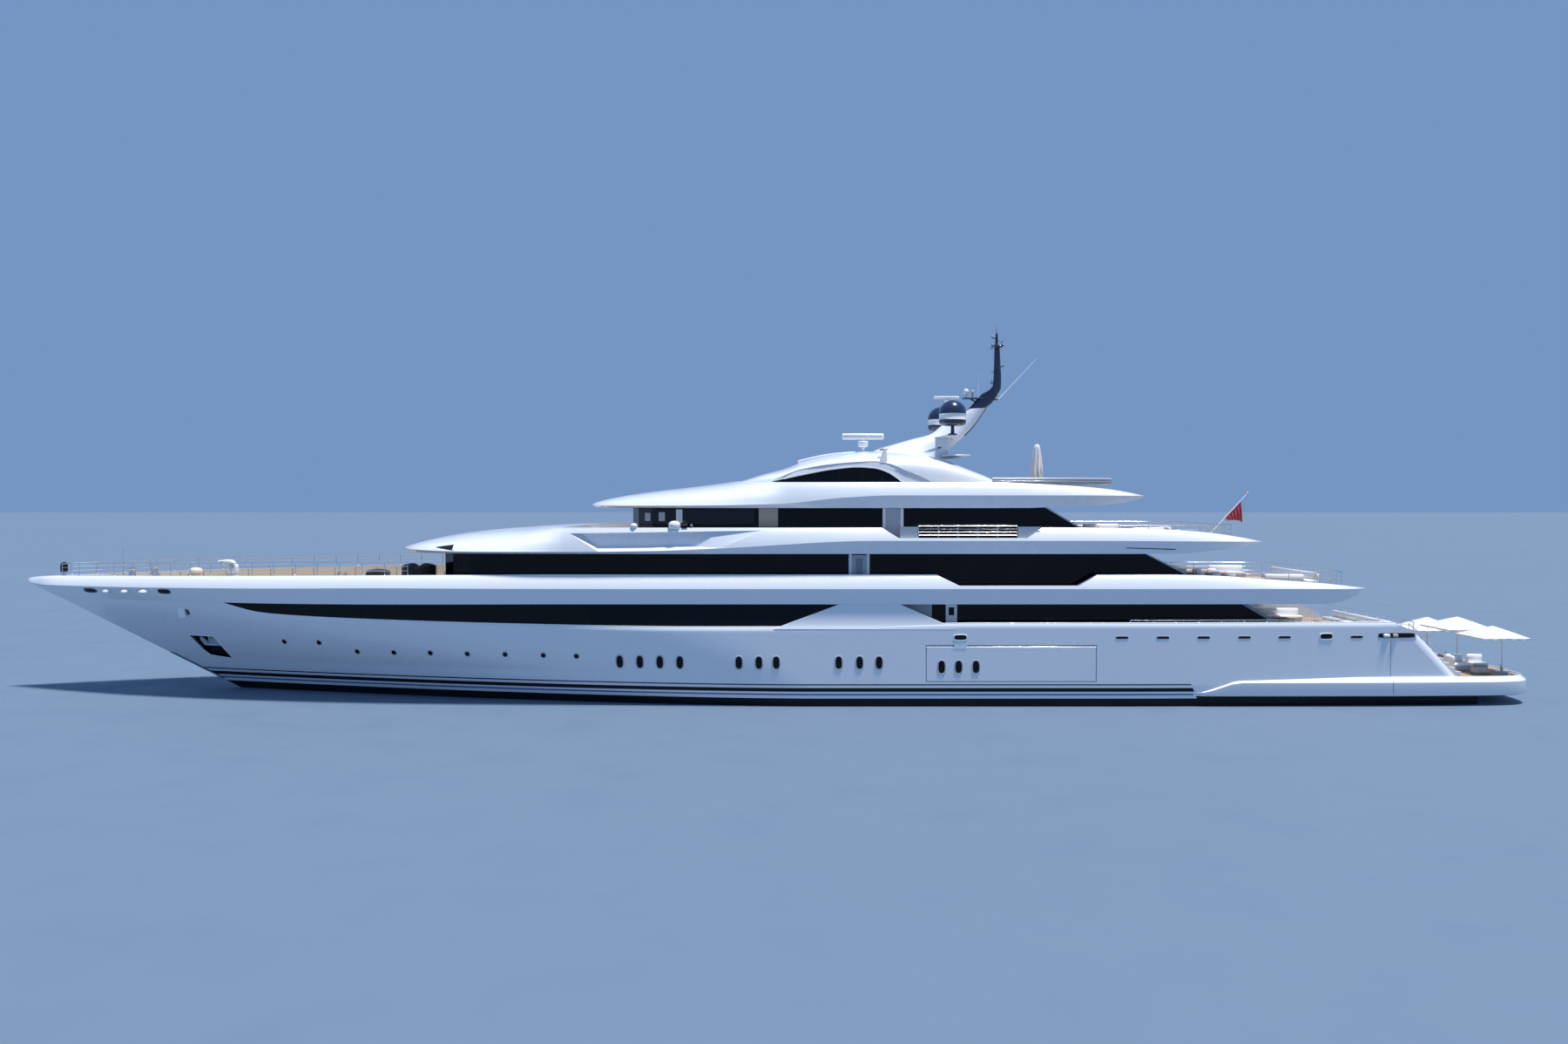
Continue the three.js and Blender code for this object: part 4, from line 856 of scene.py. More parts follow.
DOME_FRONT_X, DOME_AFT_X, DOME_EAVES_Z = 1.3, -15.8, 13.4
dome_top = smooth([
    (1.3, 13.43), (0.25, 13.66), (-0.8, 14), (-2.4, 14.42), (-3.6, 14.88), (-5.85, 15.4), (-7.8, 15.58),
    (-10, 15.58), (-12, 15.28), (-13, 14.93), (-14.1, 14.48), (-15.2, 14.03), (-15.8, 13.72),
])
dome_width = smooth([
    (1.3, 1.2), (0.6, 2.3), (0, 3.3), (-0.8, 3.95), (-1.6, 4.25), (-3, 4.5), (-5, 4.6), (-11, 4.6),
    (-14, 4.25), (-15.8, 3.5),
])
ARCH_FRONT_X, ARCH_AFT_X, ARCH_FOOT_Z = -1.5, -9.7, 13.52
arch_window = smooth([
    (ARCH_FRONT_X, ARCH_FOOT_Z), (-3.6, 13.98), (-5.5, 14.32), (-7, 14.45), (-8, 14.38), (-8.9, 14.08),
    (ARCH_AFT_X, ARCH_FOOT_Z),
])
RECESS_FRONT_X, RECESS_AFT_X = -1.62, -11.5
arch_recess = smooth([
    (RECESS_FRONT_X, 13.55), (-2.1, 13.8), (-2.8, 14.1), (-3.5, 14.33), (-4.36, 14.5), (-5.22, 14.63),
    (-6.1, 14.72), (-7, 14.78), (-7.9, 14.82), (-8.4, 14.8), (-9, 14.66), (-9.4, 14.5), (-9.93, 14.25),
    (-10.45, 14.05), (-11, 13.8), (RECESS_AFT_X, 13.55),
])
RECESS_DEEP, ARCH_DEEP, PANE_OUTS = -0.055, -0.16, (-0.155, -0.08)
COAMING_FRONT_X = -3.3
COAMING = (-1.5, -0.5), (1.5, -0.5), (1.5, -0.09), (1.35, -0.02), (0, 0), (-1.35, -0.02), (-1.5, -0.09)


def dome_section(x):
    w, top = dome_width(x), dome_top(x)
    shape = smooth([(0, w), (0.5, w - 0.22), (0.7, w - 0.6), (0.88, 0.62 * w), (0.98, 0.3 * w), (1, 0)])
    rows = [(0, SUN_DECK_Z + GAP), (w, SUN_DECK_Z + GAP)]
    for up in (0, 0.12, 0.25, 0.38, 0.5, 0.6, 0.7, 0.78, 0.84, 0.89, 0.93, 0.96, 0.98):
        rows.append((shape(up), DOME_EAVES_Z + up * (top - DOME_EAVES_Z)))
    return rows + [(0, top)]


def dome_y(x, z):
    """Half-breadth of the domed house at a height above its eaves."""
    return level_y(dome_section(x)[2:], z, 0)


def arch_outline(count, grow=0.0):
    """The arch window's outline as a smooth curve, forward to aft and back along its foot."""
    xs = spread(ARCH_FRONT_X, ARCH_AFT_X, count)
    rows = [(x, arch_window(x)) for x in xs] + [(x, ARCH_FOOT_Z) for x in xs[-2:0:-1]]
    return [(x + grow * (x + 6) / 4, z + grow * (1 if z > ARCH_FOOT_Z + 0.01 else -1)) for x, z in rows]


def make_dome():
    dome = shaped("dome", station_loft(spread(DOME_FRONT_X, DOME_AFT_X, 66), dome_section))
    recess = [(x, arch_recess(x)) for x in spread(RECESS_FRONT_X, RECESS_AFT_X, 44)]
    recess += [(RECESS_AFT_X, 13.45), (RECESS_FRONT_X, 13.45)]
    for _, side in SIDES:
        combine(dome, "DIFFERENCE", laid(dome_y, side, recess, (RECESS_DEEP, 0.9)))
        combine(dome, "DIFFERENCE", laid(dome_y, side, arch_outline(24), (ARCH_DEEP, 0.6)))
    coaming = []
    for x in (COAMING_FRONT_X, -3.45, -4, -4.6, -5.2, -5.8, -6.4, -7):
        top = dome_top(x) + mix(0.2, 0.03, clamp((COAMING_FRONT_X - x) / 3.7))
        coaming.append([(x, y, top + h) for y, h in COAMING])
    combine(dome, "UNION", skin(coaming))
    settle(dome, "domed_house", "sun_deck_house")
    for name, side in SIDES:
        pane = Form().add(GLASS, laid(dome_y, side, arch_outline(24, -0.02), PANE_OUTS))
        for x in (-2.9, -4.35, -5.8, -7.25, -8.5):
            heights = spread(13.54, arch_window(x) - 0.03, 6)
            pane.add(BLACK, tube([(x, side * (dome_y(x, z) - 0.078), z) for z in heights], 0.018, 6))
        pane.make(f"arch_pane_{name}", "dark_glass", 25, replaces=f"arch_window_{name}")
        rim = [(x, side * (dome_y(x, z) - 0.05), z) for x, z in arch_outline(30, 0.03)[:30]]
        Form().add(BRIGHT, tube(rim, 0.03)).make(f"arch_rim_{name}")


# Fittings on the hull's side

class Face:
    """A side surface of the yacht, half-breadth at x and z, to draw on."""

    def __init__(self, form, surface, side):
        self.form, self.surface, self.side = form, surface, side

    def at(self, x, z, out=0.0):
        """A point moved out square to the surface."""
        y, step = self.surface, 0.04
        lean_x = (y(x + step, z) - y(x - step, z)) / (2 * step)
        lean_z = (y(x, z + step) - y(x, z - step)) / (2 * step)
        away = Vector((-lean_x, 1, -lean_z)).normalized() * out
        return x + away.x, self.side * (y(x, z) + away.y), z + away.z

    def light(self, x, z, a, b, rim=0.06, power=2.0, inner=GLASS, outer=BRIGHT, proud=0.035):
        """A window or port with a raised rim."""
        def ring(grow, out):
            return [self.at(x + u, z + v, out) for u, v in rounded(a + grow, b + grow, power)]

        rings = [ring(rim, 0), ring(rim * 0.8, proud), ring(rim * 0.15, proud), ring(0, 0.008)]
        pane = ring(0.01, 0.012)
        self.form.add(outer, skin(rings, caps=False)).add(inner, (pane, [tuple(range(len(pane)))]))

    def patch(self, columns, material, out=0.012):
        """A flush patch from columns of (x, foot, head)."""
        levels = 0, 0.33, 0.67, 1
        rows = [[self.at(x, mix(foot, head, t), out) for x, foot, head in columns] for t in levels]
        self.form.add(material, skin(rows, around=False))

    def strip(self, x, z, material, out=0.012, count=2):
        """A flush strip over x and z limits."""
        self.patch([(px, *z) for px in spread(*x, count)], material, out)


def flat(y):
    """A level side surface."""
    return lambda x, z: y


def bow_side(x, z):
    """The hull's side, and above it the lower face of the foredeck's bulwark."""
    foot, knuckle = upper_foot_z(x), UPPER["knuckle"](x)
    if z <= foot:
        return hull_side(x, z)
    return upper_y(x) - upper_slope(x) * (1 - clamp((z - foot) / (knuckle - foot)))


PORTHOLES = [  # x, z
    (29.26, 3.44), (26.82, 3.45), (24.35, 2.91), (21.88, 2.92), (19.46, 2.96), (17.06, 2.96), (14.64, 2.98),
    (12.24, 2.97), (10.18, 2.95),
]
OVAL_Z, DOOR_OVAL_Z, OVAL_SIZE = 2.65, 2.4, (0.19, 0.37, 0.07, 2.6)
OVALS = (7.53, 6.3, 5.08, 3.87, 0.31, -0.89, -1.93, -5.68, -6.93, -8.1)
DOOR_OVALS = (-11.85, -12.87, -13.91)
PORTS = [  # x, z, half-length, half-height, rim, squareness, rim's look, how proud it stands
    (-12.97, 4.17, 0.36, 0.14, 0.06, 4.0, BRIGHT, 0.035), (-35.03, 4.2, 0.36, 0.15, 0.06, 4.0, BRIGHT, 0.035),
    (-39.35, 4.24, 1.1, 0.13, 0.04, 6.0, GREY, 0.02),
]
SLIT_PORTS = (-22.66, -25.12, -27.58, -30.05, -32.49, -36.9)
PORTS += [(x, 4.16, 0.36, 0.07, 0.03, 5.0, PALE_GREY, 0.015) for x in SLIT_PORTS]
# A dark fairlead's black inside is painted shade in its opening; a white one is a lip that stands out
FAIRLEADS = [  # aft end, forward end, height, dark or white
    (41.84, 42.9, 6.58, BLACK), (40.63, 41.2, 6.6, BRIGHT), (39.15, 39.74, 6.62, BRIGHT),
    (37.68, 38.36, 6.64, BRIGHT), (36.12, 37.07, 6.66, BLACK),
]
FLUKES = (
    ((34.13, 3.0), (34.78, 3.0), (34.72, 3.3), (34.6, 3.58), (34.42, 3.4)),
    ((34.98, 3.0), (35.42, 3.0), (35.5, 3.35), (35.38, 3.58), (35.15, 3.35)),
)
SEAM_X = (-39.02, -38.99)
HAWSE_X, HAWSE_Z = 35.92, 5.29
CAP_FRONT_X, CAP_AFT_X, CAP_INSET = 29.5, -39.1, 0.13
WING = (  # at the foot and at the head: y, fore x, aft x, z
    (7.108, 6.84), (-1.75, -5.7), (-12.75, -9.4), (4.68, 6.137),
)


def make_hull_fittings():
    for name, side in SIDES:
        lights = Form()
        hull = Face(lights, hull_side, side)
        for x, z in PORTHOLES:
            hull.light(x, z, 0.14, 0.14, 0.05, outer=PALE_GREY, proud=0.02)
        for x in OVALS:
            hull.light(x, OVAL_Z, *OVAL_SIZE, outer=PALE_GREY)
        lights.make(f"hull_lights_{name}", "dark_glass", 50)
        make_ports(name, side)

        xs = spread(CAP_FRONT_X, CAP_AFT_X, 110)
        path = [(x, side * (side_y(x, hull_top(x)) - CAP_INSET), hull_top(x)) for x in xs]
        cap = tube(path, [0.012 + 0.033 * clamp((CAP_FRONT_X - x) / 6) for x in xs])
        Form().add(BRIGHT, cap).make(f"bulwark_cap_{name}", sharp=60)

        door = Form()
        for x in DOOR_OVALS:
            Face(door, flat(HALF_BEAM), side).light(x, DOOR_OVAL_Z, *OVAL_SIZE, outer=PALE_GREY, proud=0.03)
        door.make(f"door_lights_{name}", "dark_glass", 50, f"garage_door_{name}")
        make_anchor(name, side)

        rings = []
        for t in spread(0, 1, 13):
            y = side * mix(*WING[0], t ** 0.7)
            fore, aft, z = (mix(*ends, t) for ends in WING[1:])
            outline = (fore, 0.02), (fore - 0.06, 0), (aft + 0.06, 0), (aft, 0.02), (aft, 0.22), (fore, 0.22)
            rings.append([(x, y - side * deep, z) for x, deep in outline])
        Form().add(WHITE, skin(rings)).make(f"wing_{name}", sharp=25, replaces=f"side_wing_{name}")

        rebate = Form()
        y = side * 6.86, side * 6.94
        foot = DOOR_FOOT + 0.1
        rebate.add(WHITE, block((DOOR_AFT - 0.15, DOOR_FRONT + 0.15), y, (DOOR_FOOT - 0.15, foot), 0.01))
        for x in (DOOR_AFT - 0.025, DOOR_FRONT + 0.025):
            rebate.add(WHITE, block(about(x, 0.125), y, (foot, 3.4), 0.01))
        rebate.make(f"door_rebate_{name}", sharp=40)

    stem = [(stem_x(z), z) for z in spread(0.6, 2.35, 14)]
    guard = [[(x + 0.04, 0, z), (x - 0.3, 0.14, z), (x - 0.3, -0.14, z)] for x, z in stem]
    Form().add(GREY, skin(guard)).make("stem_guard", "steel", 60)


def make_ports(name, side):
    ports = Form()
    hull, bow = Face(ports, hull_side, side), Face(ports, bow_side, side)
    # Each port's inside is a black pane: painted shade in the opening
    for x, z, a, b, rim, power, look, proud in PORTS:
        hull.light(x, z, a, b, rim, power, BLACK, look, proud)
    hull.strip((-13.35, -12.6), (3.5, 3.95), BRIGHT)
    for x, half, look in ((-38.72, 0.2, BRIGHT), (-39.26, 0.15, BEIGE)):
        roller = [hull.at(x + dx, 4.24, 0.03) for dx in (-half, 0.04 - half, half - 0.04, half)]
        ports.add(look, tube(roller, [0.07, 0.11, 0.11, 0.07], 12))
    for aft, front, z, look in FAIRLEADS:
        middle, half = (aft + front) / 2, (front - aft) / 2
        # A black pane in the opening: painted shade
        if look is BLACK:
            bow.light(middle, z, half - 0.04, 0.13, 0.05, 3.0, look, GREY, 0.02)
            continue
        domed = [
            [bow.at(middle + u, z + 0.07 + v, out) for u, v in rounded(half * f, 0.1 * f)]
            for f, out in ((1, 0), (0.97, 0.18), (0.7, 0.28), (0.1, 0.3))
        ]
        ports.add(look, skin(domed, caps=False))
    hawse = [
        [hull.at(HAWSE_X + u, HAWSE_Z + v, out + tip * (0.24 - v)) for u, v in rounded(0.26, 0.25, 9, 24)]
        for out, tip in ((-0.02, 0), (0.02, 0.4))
    ]
    ports.add(BRIGHT, skin(hawse))
    hull.patch([(35.64, 5.06, 5.5), (35.42, 5.14, 5.42)], NAVY)
    hull.strip(SEAM_X, (1.76, 4.0), GREY, 0.005)
    Face(ports, lambda x, z: ledge_y(x), side).strip(SEAM_X, (0.75, 1.52), GREY, 0.006)
    ports.make(f"mooring_ports_{name}", sharp=50)


def make_anchor(name, side):
    """A stockless anchor in its pocket: the crown across, its two flukes up, and a chafing rim round them."""
    made = Form()
    at = Face(made, hull_side, side).at
    made.add(PALE_GREY, tube([at(34.85, 3.62, -0.2), at(34.9, 3.3, -0.14), at(34.92, 3.0, -0.1)], 0.08, 10))
    crown = [at(x, 2.97, -0.1) for x in (34.05, 34.2, 34.75, 35.3, 35.42)]
    made.add(PALE_GREY, tube(crown, [0.04, 0.08, 0.1, 0.08, 0.04], 12))
    for outline in FLUKES:
        rings = [[at(x, z, out + 0.12 * (z - 3)) for x, z in outline] for out in (-0.13, -0.05)]
        made.add(PALE_GREY, skin(rings))
    made.add(BRIGHT, tube([at(x, z) for x, z in ANCHOR_POCKET], 0.035, closed=True))
    made.make(f"anchor_{name}", "steel", 40)


# Windows, frames and doors of the deckhouses

PANE_JOINTS = [  # the face's half-breadth, x of the joints, foot and head
    (UPPER_FACE_Y, [x for x in spread(14.6, -24, 21) if not -8.4 < x < -5.6], UPPER_DECK_Z + SILL, 9.14),
    (BRIDGE_FACE_Y, (-3.7, -5.4, -7.1, -11.4, -13.2, -15, -16.8), 10.76, 11.9),
    (MAIN_FACE_Y, spread(-14.6, -29, 8), MAIN_DECK_Z + SILL, 6.1),
]
PANELS = [  # the face's half-breadth, x from and to, foot and head, look, how proud it stands
    (UPPER_FACE_Y, -6.53, -6.35, UPPER_DECK_Z + SILL, 9.14, BRIGHT, 0.03),
    (UPPER_FACE_Y, -7.62, -7.44, UPPER_DECK_Z + SILL, 9.14, BRIGHT, 0.03),
    (UPPER_FACE_Y, -7.44, -6.53, UPPER_DECK_Z + SILL, 9.05, PALE_GREY, 0.015),
    (UPPER_FACE_Y, -7.2, -6.78, 7.3, 8.85, GREY, 0.022),
    (BRIDGE_FACE_Y, -2.03, -0.85, 10.76, 11.9, BEIGE, 0.03),
    (BRIDGE_FACE_Y, -8.63, -8.45, BRIDGE_DECK_Z + SILL, 11.9, BRIGHT, 0.03),
    (BRIDGE_FACE_Y, -9.73, -9.55, BRIDGE_DECK_Z + SILL, 11.9, BRIGHT, 0.03),
    (BRIDGE_FACE_Y, -9.55, -8.63, BRIDGE_DECK_Z + SILL, 11.9, PALE_GREY, 0.015),
    (MAIN_FACE_Y, -12.94, -12.25, MAIN_DECK_Z + SILL, 6.1, BRIGHT, 0.03),
    (MAIN_FACE_Y, -12.76, -12.42, 5.4, 5.88, GLASS, 0.04),
    (MAIN_FACE_Y, -11.4, -9.02, MAIN_DECK_Z + SILL, 6.1, PALE_GREY, 0.02),
]
SLANTS = [  # half-breadths, look and outline of the glass and frames at the houses' slanted after ends
    (5.72, 5.77, GLASS, [(-24.45, 9.15), (-26.95, 7.9), (-26.7, 7.5), (-23.6, 9.15)]),
    (5.71, 5.79, PALE_GREY, [(-24.5, 9.155), (-27.02, 7.9), (-26.9, 7.86), (-24.35, 9.155)]),
    (5.27, 5.32, GLASS, [(-18.45, 11.96), (-20.5, 10.74), (-20.2, 10.3), (-17.1, 11.9)]),
    (5.26, 5.34, PALE_GREY, [(-18.53, 11.965), (-20.6, 10.74), (-20.48, 10.7), (-18.38, 11.965)]),
    (5.94, 6.0, GREY, [(-30.5, 6.13), (-32.1, 5.2), (-32.1, 5.0), (-30.15, 6.13)]),
]
WHEELHOUSE_PANELS = [  # x from and to, foot and head, look
    (6.3, 5.9, 11.1, 11.6, PALE_GREY), (5.35, 4.95, 11.1, 11.65, PALE_GREY), (4.23, 3.85, 11.0, 11.82, WHITE),
]
wheelhouse_y = straight([(7.35, 1.6), (6.8, 3.1), (5.8, 4.4), (4.2, 5.1), (2, 5.3), (-21, 5.3)])
SLOTS = [  # look, how proud, then x, foot and head at the forward end and at the after end
    (BLACK, 0.02, (18.94, 9.51, 9.52), (17.74, 9.35, 9.68)),
    (NAVY, 0.012, (-22.98, 9.5, 9.55), (-26.01, 9.4, 9.46)),
]
LAMP_Y, LAMP_Z = 6.34, 10.66
LAMPS = [  # x, look, segments, rows of a shape of revolution
    (6.68, GLOW, 20, [(0, 0), (0.1, 0), (0.1, 0.04), (0.2, 0.1), (0.22, 0.2), (0.16, 0.31), (0, 0.36)]),
    (4.22, BRIGHT, 24, [(0, 0), (0.3, 0), (0.34, 0.04), (0.38, 0.22), (0.33, 0.38), (0.2, 0.47), (0, 0.5)]),
    (3.2, GREY, 14, [(0, 0), (0.06, 0), (0.06, 0.12), (0.1, 0.2), (0.06, 0.3), (0, 0.31)]),
]


def make_window_frames():
    for name, side in SIDES:
        frames = Form()
        for y, xs, foot, head in PANE_JOINTS:
            for x in xs:
                Face(frames, flat(y), side).strip(about(x, 0.015), (foot, head), GLASS, 0.006)
        for y, x0, x1, foot, head, look, out in PANELS:
            Face(frames, flat(y), side).strip((x0, x1), (foot, head), look, out)
        for y0, y1, look, outline in SLANTS:
            frames.add(look, plate(outline, side * y0, side * y1))
        for x0, x1, foot, head, look in WHEELHOUSE_PANELS:
            front = Face(frames, lambda x, z: wheelhouse_y(x), side)
            front.strip((x0, x1), (foot, head), look, 0.03, 4)
        for x in spread(27.5, -1.5, 16):
            spots = [house_side(x, share) for share in (0.02, 0.35, 0.7, 0.98)]
            frames.add(GLASS, tube([(x, side * (y + 0.002), z) for y, z in spots], 0.01, 5))
        shell = Face(frames, face_of(BRIDGE), side)
        for look, out, fore, aft in SLOTS:
            shell.patch([[mix(a, b, t) for a, b in zip(fore, aft)] for t in spread(0, 1, 9)], look, out)
        shell.strip((17.66, 17.74), (9.34, 9.7), BRIGHT, 0.03)
        frames.make(f"window_frames_{name}", sharp=30)

        lamps = Form()
        for x, look, segments, rows in LAMPS:
            lamps.add(look, turned(x, side * LAMP_Y, LAMP_Z, rows, segments))
        lamps.add(BLACK, tube([(x, side * LAMP_Y, LAMP_Z + 0.16) for x in (3.78, 3.45)], 0.15, 14))
        lamps.make(f"bulwark_lamps_{name}", sharp=50)


# Decks and their seats

PLATFORM_PLAN = [
    (-43.204, 6.87), (-44.8, 6.8), (-46, 6.67), (-46.9, 6.45), (-47.5, 6.1), (-47.9, 5.6), (-48.14, 4.9),
    (-48.26, 4), (-48.32, 2.5), (-48.34, 0),
]


def inset_plan(plan, inset):
    """A port half plan drawn in by an inset, its front end kept where it is."""
    made = []
    for i, (x, y) in enumerate(plan):
        before, after = plan[max(0, i - 1)], plan[min(len(plan) - 1, i + 1)]
        along = Vector((after[0] - before[0], after[1] - before[1])).normalized()
        made.append((x if i == 0 else x - along.y * inset, y if y == 0 else y + along.x * inset))
    return made


def teak(name, half, z, thick=TEAK_THICK):
    Form().add(TEAK, slab(both_sides(half), z + 0.0005, z + thick)).make(f"{name}_teak", sharp=30)


def make_decks():
    teak("main_deck", [(x, well_y(x) - 0.27) for x in spread(WELL_FRONT_X - 0.02, -41.1, 40)], MAIN_DECK_Z)
    for name, form, xs, deck in (
        ("upper", UPPER, [*spread(43.4, 0, 40), *spread(-4, -37.2, 22)], UPPER_DECK_Z),
        ("bridge", BRIDGE, spread(10.8, -31, 34), BRIDGE_DECK_Z),
        ("sun", SUN, spread(-2.63, -23.7, 26), SUN_DECK_Z),
    ):
        teak(f"{name}_deck", [(x, tray_y(form, x) - 0.015) for x in xs], deck)
    teak("swim_platform", inset_plan(PLATFORM_PLAN, 0.42)[:-1], PLATFORM_Z, PLATFORM_TEAK)
    teak("stern_bay", [(-41.25, 5.9), (-43.15, 5.9)], PLATFORM_Z, PLATFORM_TEAK)
    lining, foot = Form(), UPPER_DECK_Z + SILL
    for _, side in SIDES:
        inner = [(x, side * (tray_y(UPPER, x) - 0.012)) for x in spread(20.3, 43.0, 60)]
        rows = [[(x, y, z) for x, y in inner] for z in (foot, UPPER_DECK_Z + 0.5)]
        rows.append([(x, y, UPPER["top"](x) - 0.05) for x, y in inner])
        lining.add(CREAM, skin(rows, around=False))
        for x in spread(20.9, 41.6, 16):
            y = side * (tray_y(UPPER, x) - 0.02)
            lining.add(BEIGE, block(about(x, 0.03), about(y, 0.012), (foot, UPPER["top"](x) - 0.06)))
    lining.make("bulwark_lining", sharp=40)


SEATS = [  # piece, its deck, then rows of x limits, y limits, height, and the raised backs, or T for a table
    # Rows with O have an outboard back, and O and M rows are mirrored to starboard
    ("main_deck_seats", MAIN_DECK_Z + TEAK_THICK, [
        (-40.6, -39.7, -3.6, 3.6, 0.42, "A"), (-38.6, -35.4, 4.0, 4.9, 0.42, "O"),
        (-37.8, -36.2, 2.6, 3.4, 0.4, "TM"), (-38.9, -38.0, -1.5, 1.5, 0.4, "T"),
    ]),
    ("upper_deck_seats", UPPER_DECK_Z + TEAK_THICK, [
        (-36.2, -35.3, -3.4, 3.4, 0.5, "A"), (-34.6, -32.2, 3.9, 4.8, 0.5, "O"),
        (-31.6, -31.0, 1.15, 1.75, 0.46, "O"), (-30.6, -30.0, 1.15, 1.75, 0.46, "O"),
        (-29.6, -29.0, 1.15, 1.75, 0.46, "O"), (-31.9, -28.7, -0.75, 0.75, 0.72, "T"),
        (-34.2, -33.2, -1.4, 1.4, 0.4, "T"),
    ]),
    ("bridge_deck_seats", BRIDGE_DECK_Z + TEAK_THICK, [
        (-27.6, -26.7, -3.2, 3.2, 0.5, "F"), (-25.9, -23.4, 4.0, 4.9, 0.5, "O"),
        (-25.3, -24.3, -1.5, 1.5, 0.4, "T"),
    ]),
    ("sun_deck_beds", SUN_DECK_Z + TEAK_THICK, [
        (-21.9, -19.9, 0.7, 1.5, 0.34, "M"), (-21.9, -19.9, 2.9, 3.7, 0.34, "M"),
    ]),
    ("platform_seats", PLATFORM_Z + PLATFORM_TEAK, [
        (-45.5, -44.3, 2.9, 4.0, 0.5, "SF"), (-47.2, -46.2, 2.2, 3.1, 0.4, "S"),
        (-45.6, -44.4, -3.4, -2.2, 0.5, "SF"),
    ]),
]
PILLOWS = {  # piece: look, edge, then x and y limits and heights over the deck
    "sun_deck_beds": (
        BRIGHT, 0.09, [(-20.5, -19.95, *about(y, 0.36), 0.3, 0.52) for y in (-3.3, -1.1, 1.1, 3.3)],
    ),
    "platform_seats": (BEIGE, 0.08, [(-46.0, -45.0, 4.6, 5.3, 0, 0.34), (-46.0, -45.0, -0.5, 0.5, 0, 0.34)]),
}
BACK_DEEP, BACK_TALL = 0.2, 0.45


def seat(form, x, y, z, tall, backs):
    """A moulded bench over x and y limits, with raised backs: A aft, F forward, P port, S starboard."""
    form.add(PALE_GREY, block((x[0] + 0.05, x[1] - 0.05), (y[0] + 0.05, y[1] - 0.05), (z, z + tall * 0.6)))
    form.add(BRIGHT, block(x, y, (z + tall * 0.55, z + tall), 0.07))
    limits = {
        "A": ((x[0], x[0] + BACK_DEEP), y), "F": ((x[1] - BACK_DEEP, x[1]), y),
        "P": (x, (y[1] - BACK_DEEP, y[1])), "S": (x, (y[0], y[0] + BACK_DEEP)),
    }
    for edge in backs:
        if edge in limits:
            form.add(BRIGHT, block(*limits[edge], (z + tall - 0.05, z + tall + BACK_TALL), 0.08))


def low_table(form, x, y, z, tall):
    form.add(PALE_GREY, block((x[0] + 0.3, x[1] - 0.3), (y[0] + 0.2, y[1] - 0.2), (z, z + tall - 0.04), 0.03))
    form.add(TEAK, block(x, y, (z + tall - 0.05, z + tall)))


def make_deck_seats():
    for name, deck, rows in SEATS:
        made = Form()
        for x0, x1, y0, y1, tall, marks in rows:
            for side in (1, -1) if "O" in marks or "M" in marks else (1,):
                x, y = (x0, x1), sorted((side * y0, side * y1))
                if "T" in marks:
                    low_table(made, x, y, deck, tall)
                else:
                    seat(made, x, y, deck, tall, marks.replace("O", "P" if side > 0 else "S"))
        look, edge, pillows = PILLOWS.get(name, (BRIGHT, 0, []))
        for x0, x1, y0, y1, low, high in pillows:
            made.add(look, block((x0, x1), (y0, y1), (deck + low, deck + high), edge))
        made.make(name, sharp=50)


# Rails

AFT_RAILS = [  # name, deck, height, posts from forward to aft
    ("upper", UPPER_DECK_Z, 1.1, [
        (-28.5, 5.9), (-30, 5.9), (-31.6, 5.85), (-33.2, 5.8), (-34.8, 5.7), (-36.3, 5.4), (-37, 4.6),
        (-37.1, 3), (-37.1, 1.5),
    ]),
    ("bridge", BRIDGE_DECK_Z, 1.1, [
        (-21.5, 5.95), (-23, 5.9), (-24.6, 5.85), (-26.2, 5.8), (-27.8, 5.7), (-29.4, 5.4), (-30.2, 4.4),
        (-30.2, 2.9), (-30.2, 1.4),
    ]),
    ("sun", SUN_DECK_Z, 1.15, [
        (-15.2, 5.2), (-16.6, 5.2), (-18, 5.2), (-19.6, 5.1), (-21.2, 4.9), (-22.6, 4.4), (-23.1, 3.2),
        (-23.1, 1.6),
    ]),
]
RAIL_PANELS = (
    [(-9.4, 10.8), (-10.45, 10.8), (-10.45, 10.13), (-9.4, 10.13)],
    [(-16.5, 10.8), (-17.9, 10.8), (-17.0, 10.13), (-16.5, 10.13)],
)


def rail(form, feet, height, wires=3, radius=0.028, post=0.022):
    """Posts, a top rail and wires through points of (x, y, z) at the posts' feet."""
    def level(share):
        return [(x, y, z + height * share) for x, y, z in feet]

    form.add(STEEL, tube(level(1), radius))
    for k in range(wires):
        form.add(STEEL, tube(level((k + 1) / (wires + 1)), 0.011, 5))
    for (x, y, z), head in zip(feet, level(1)):
        form.add(STEEL, tube([(x, y, z), head], post, 7))
        form.add(STEEL, turned(x, y, z, [(0, 0), (0.055, 0), (0.055, 0.015), (0.03, 0.05), (0, 0.05)], 10))
    return form


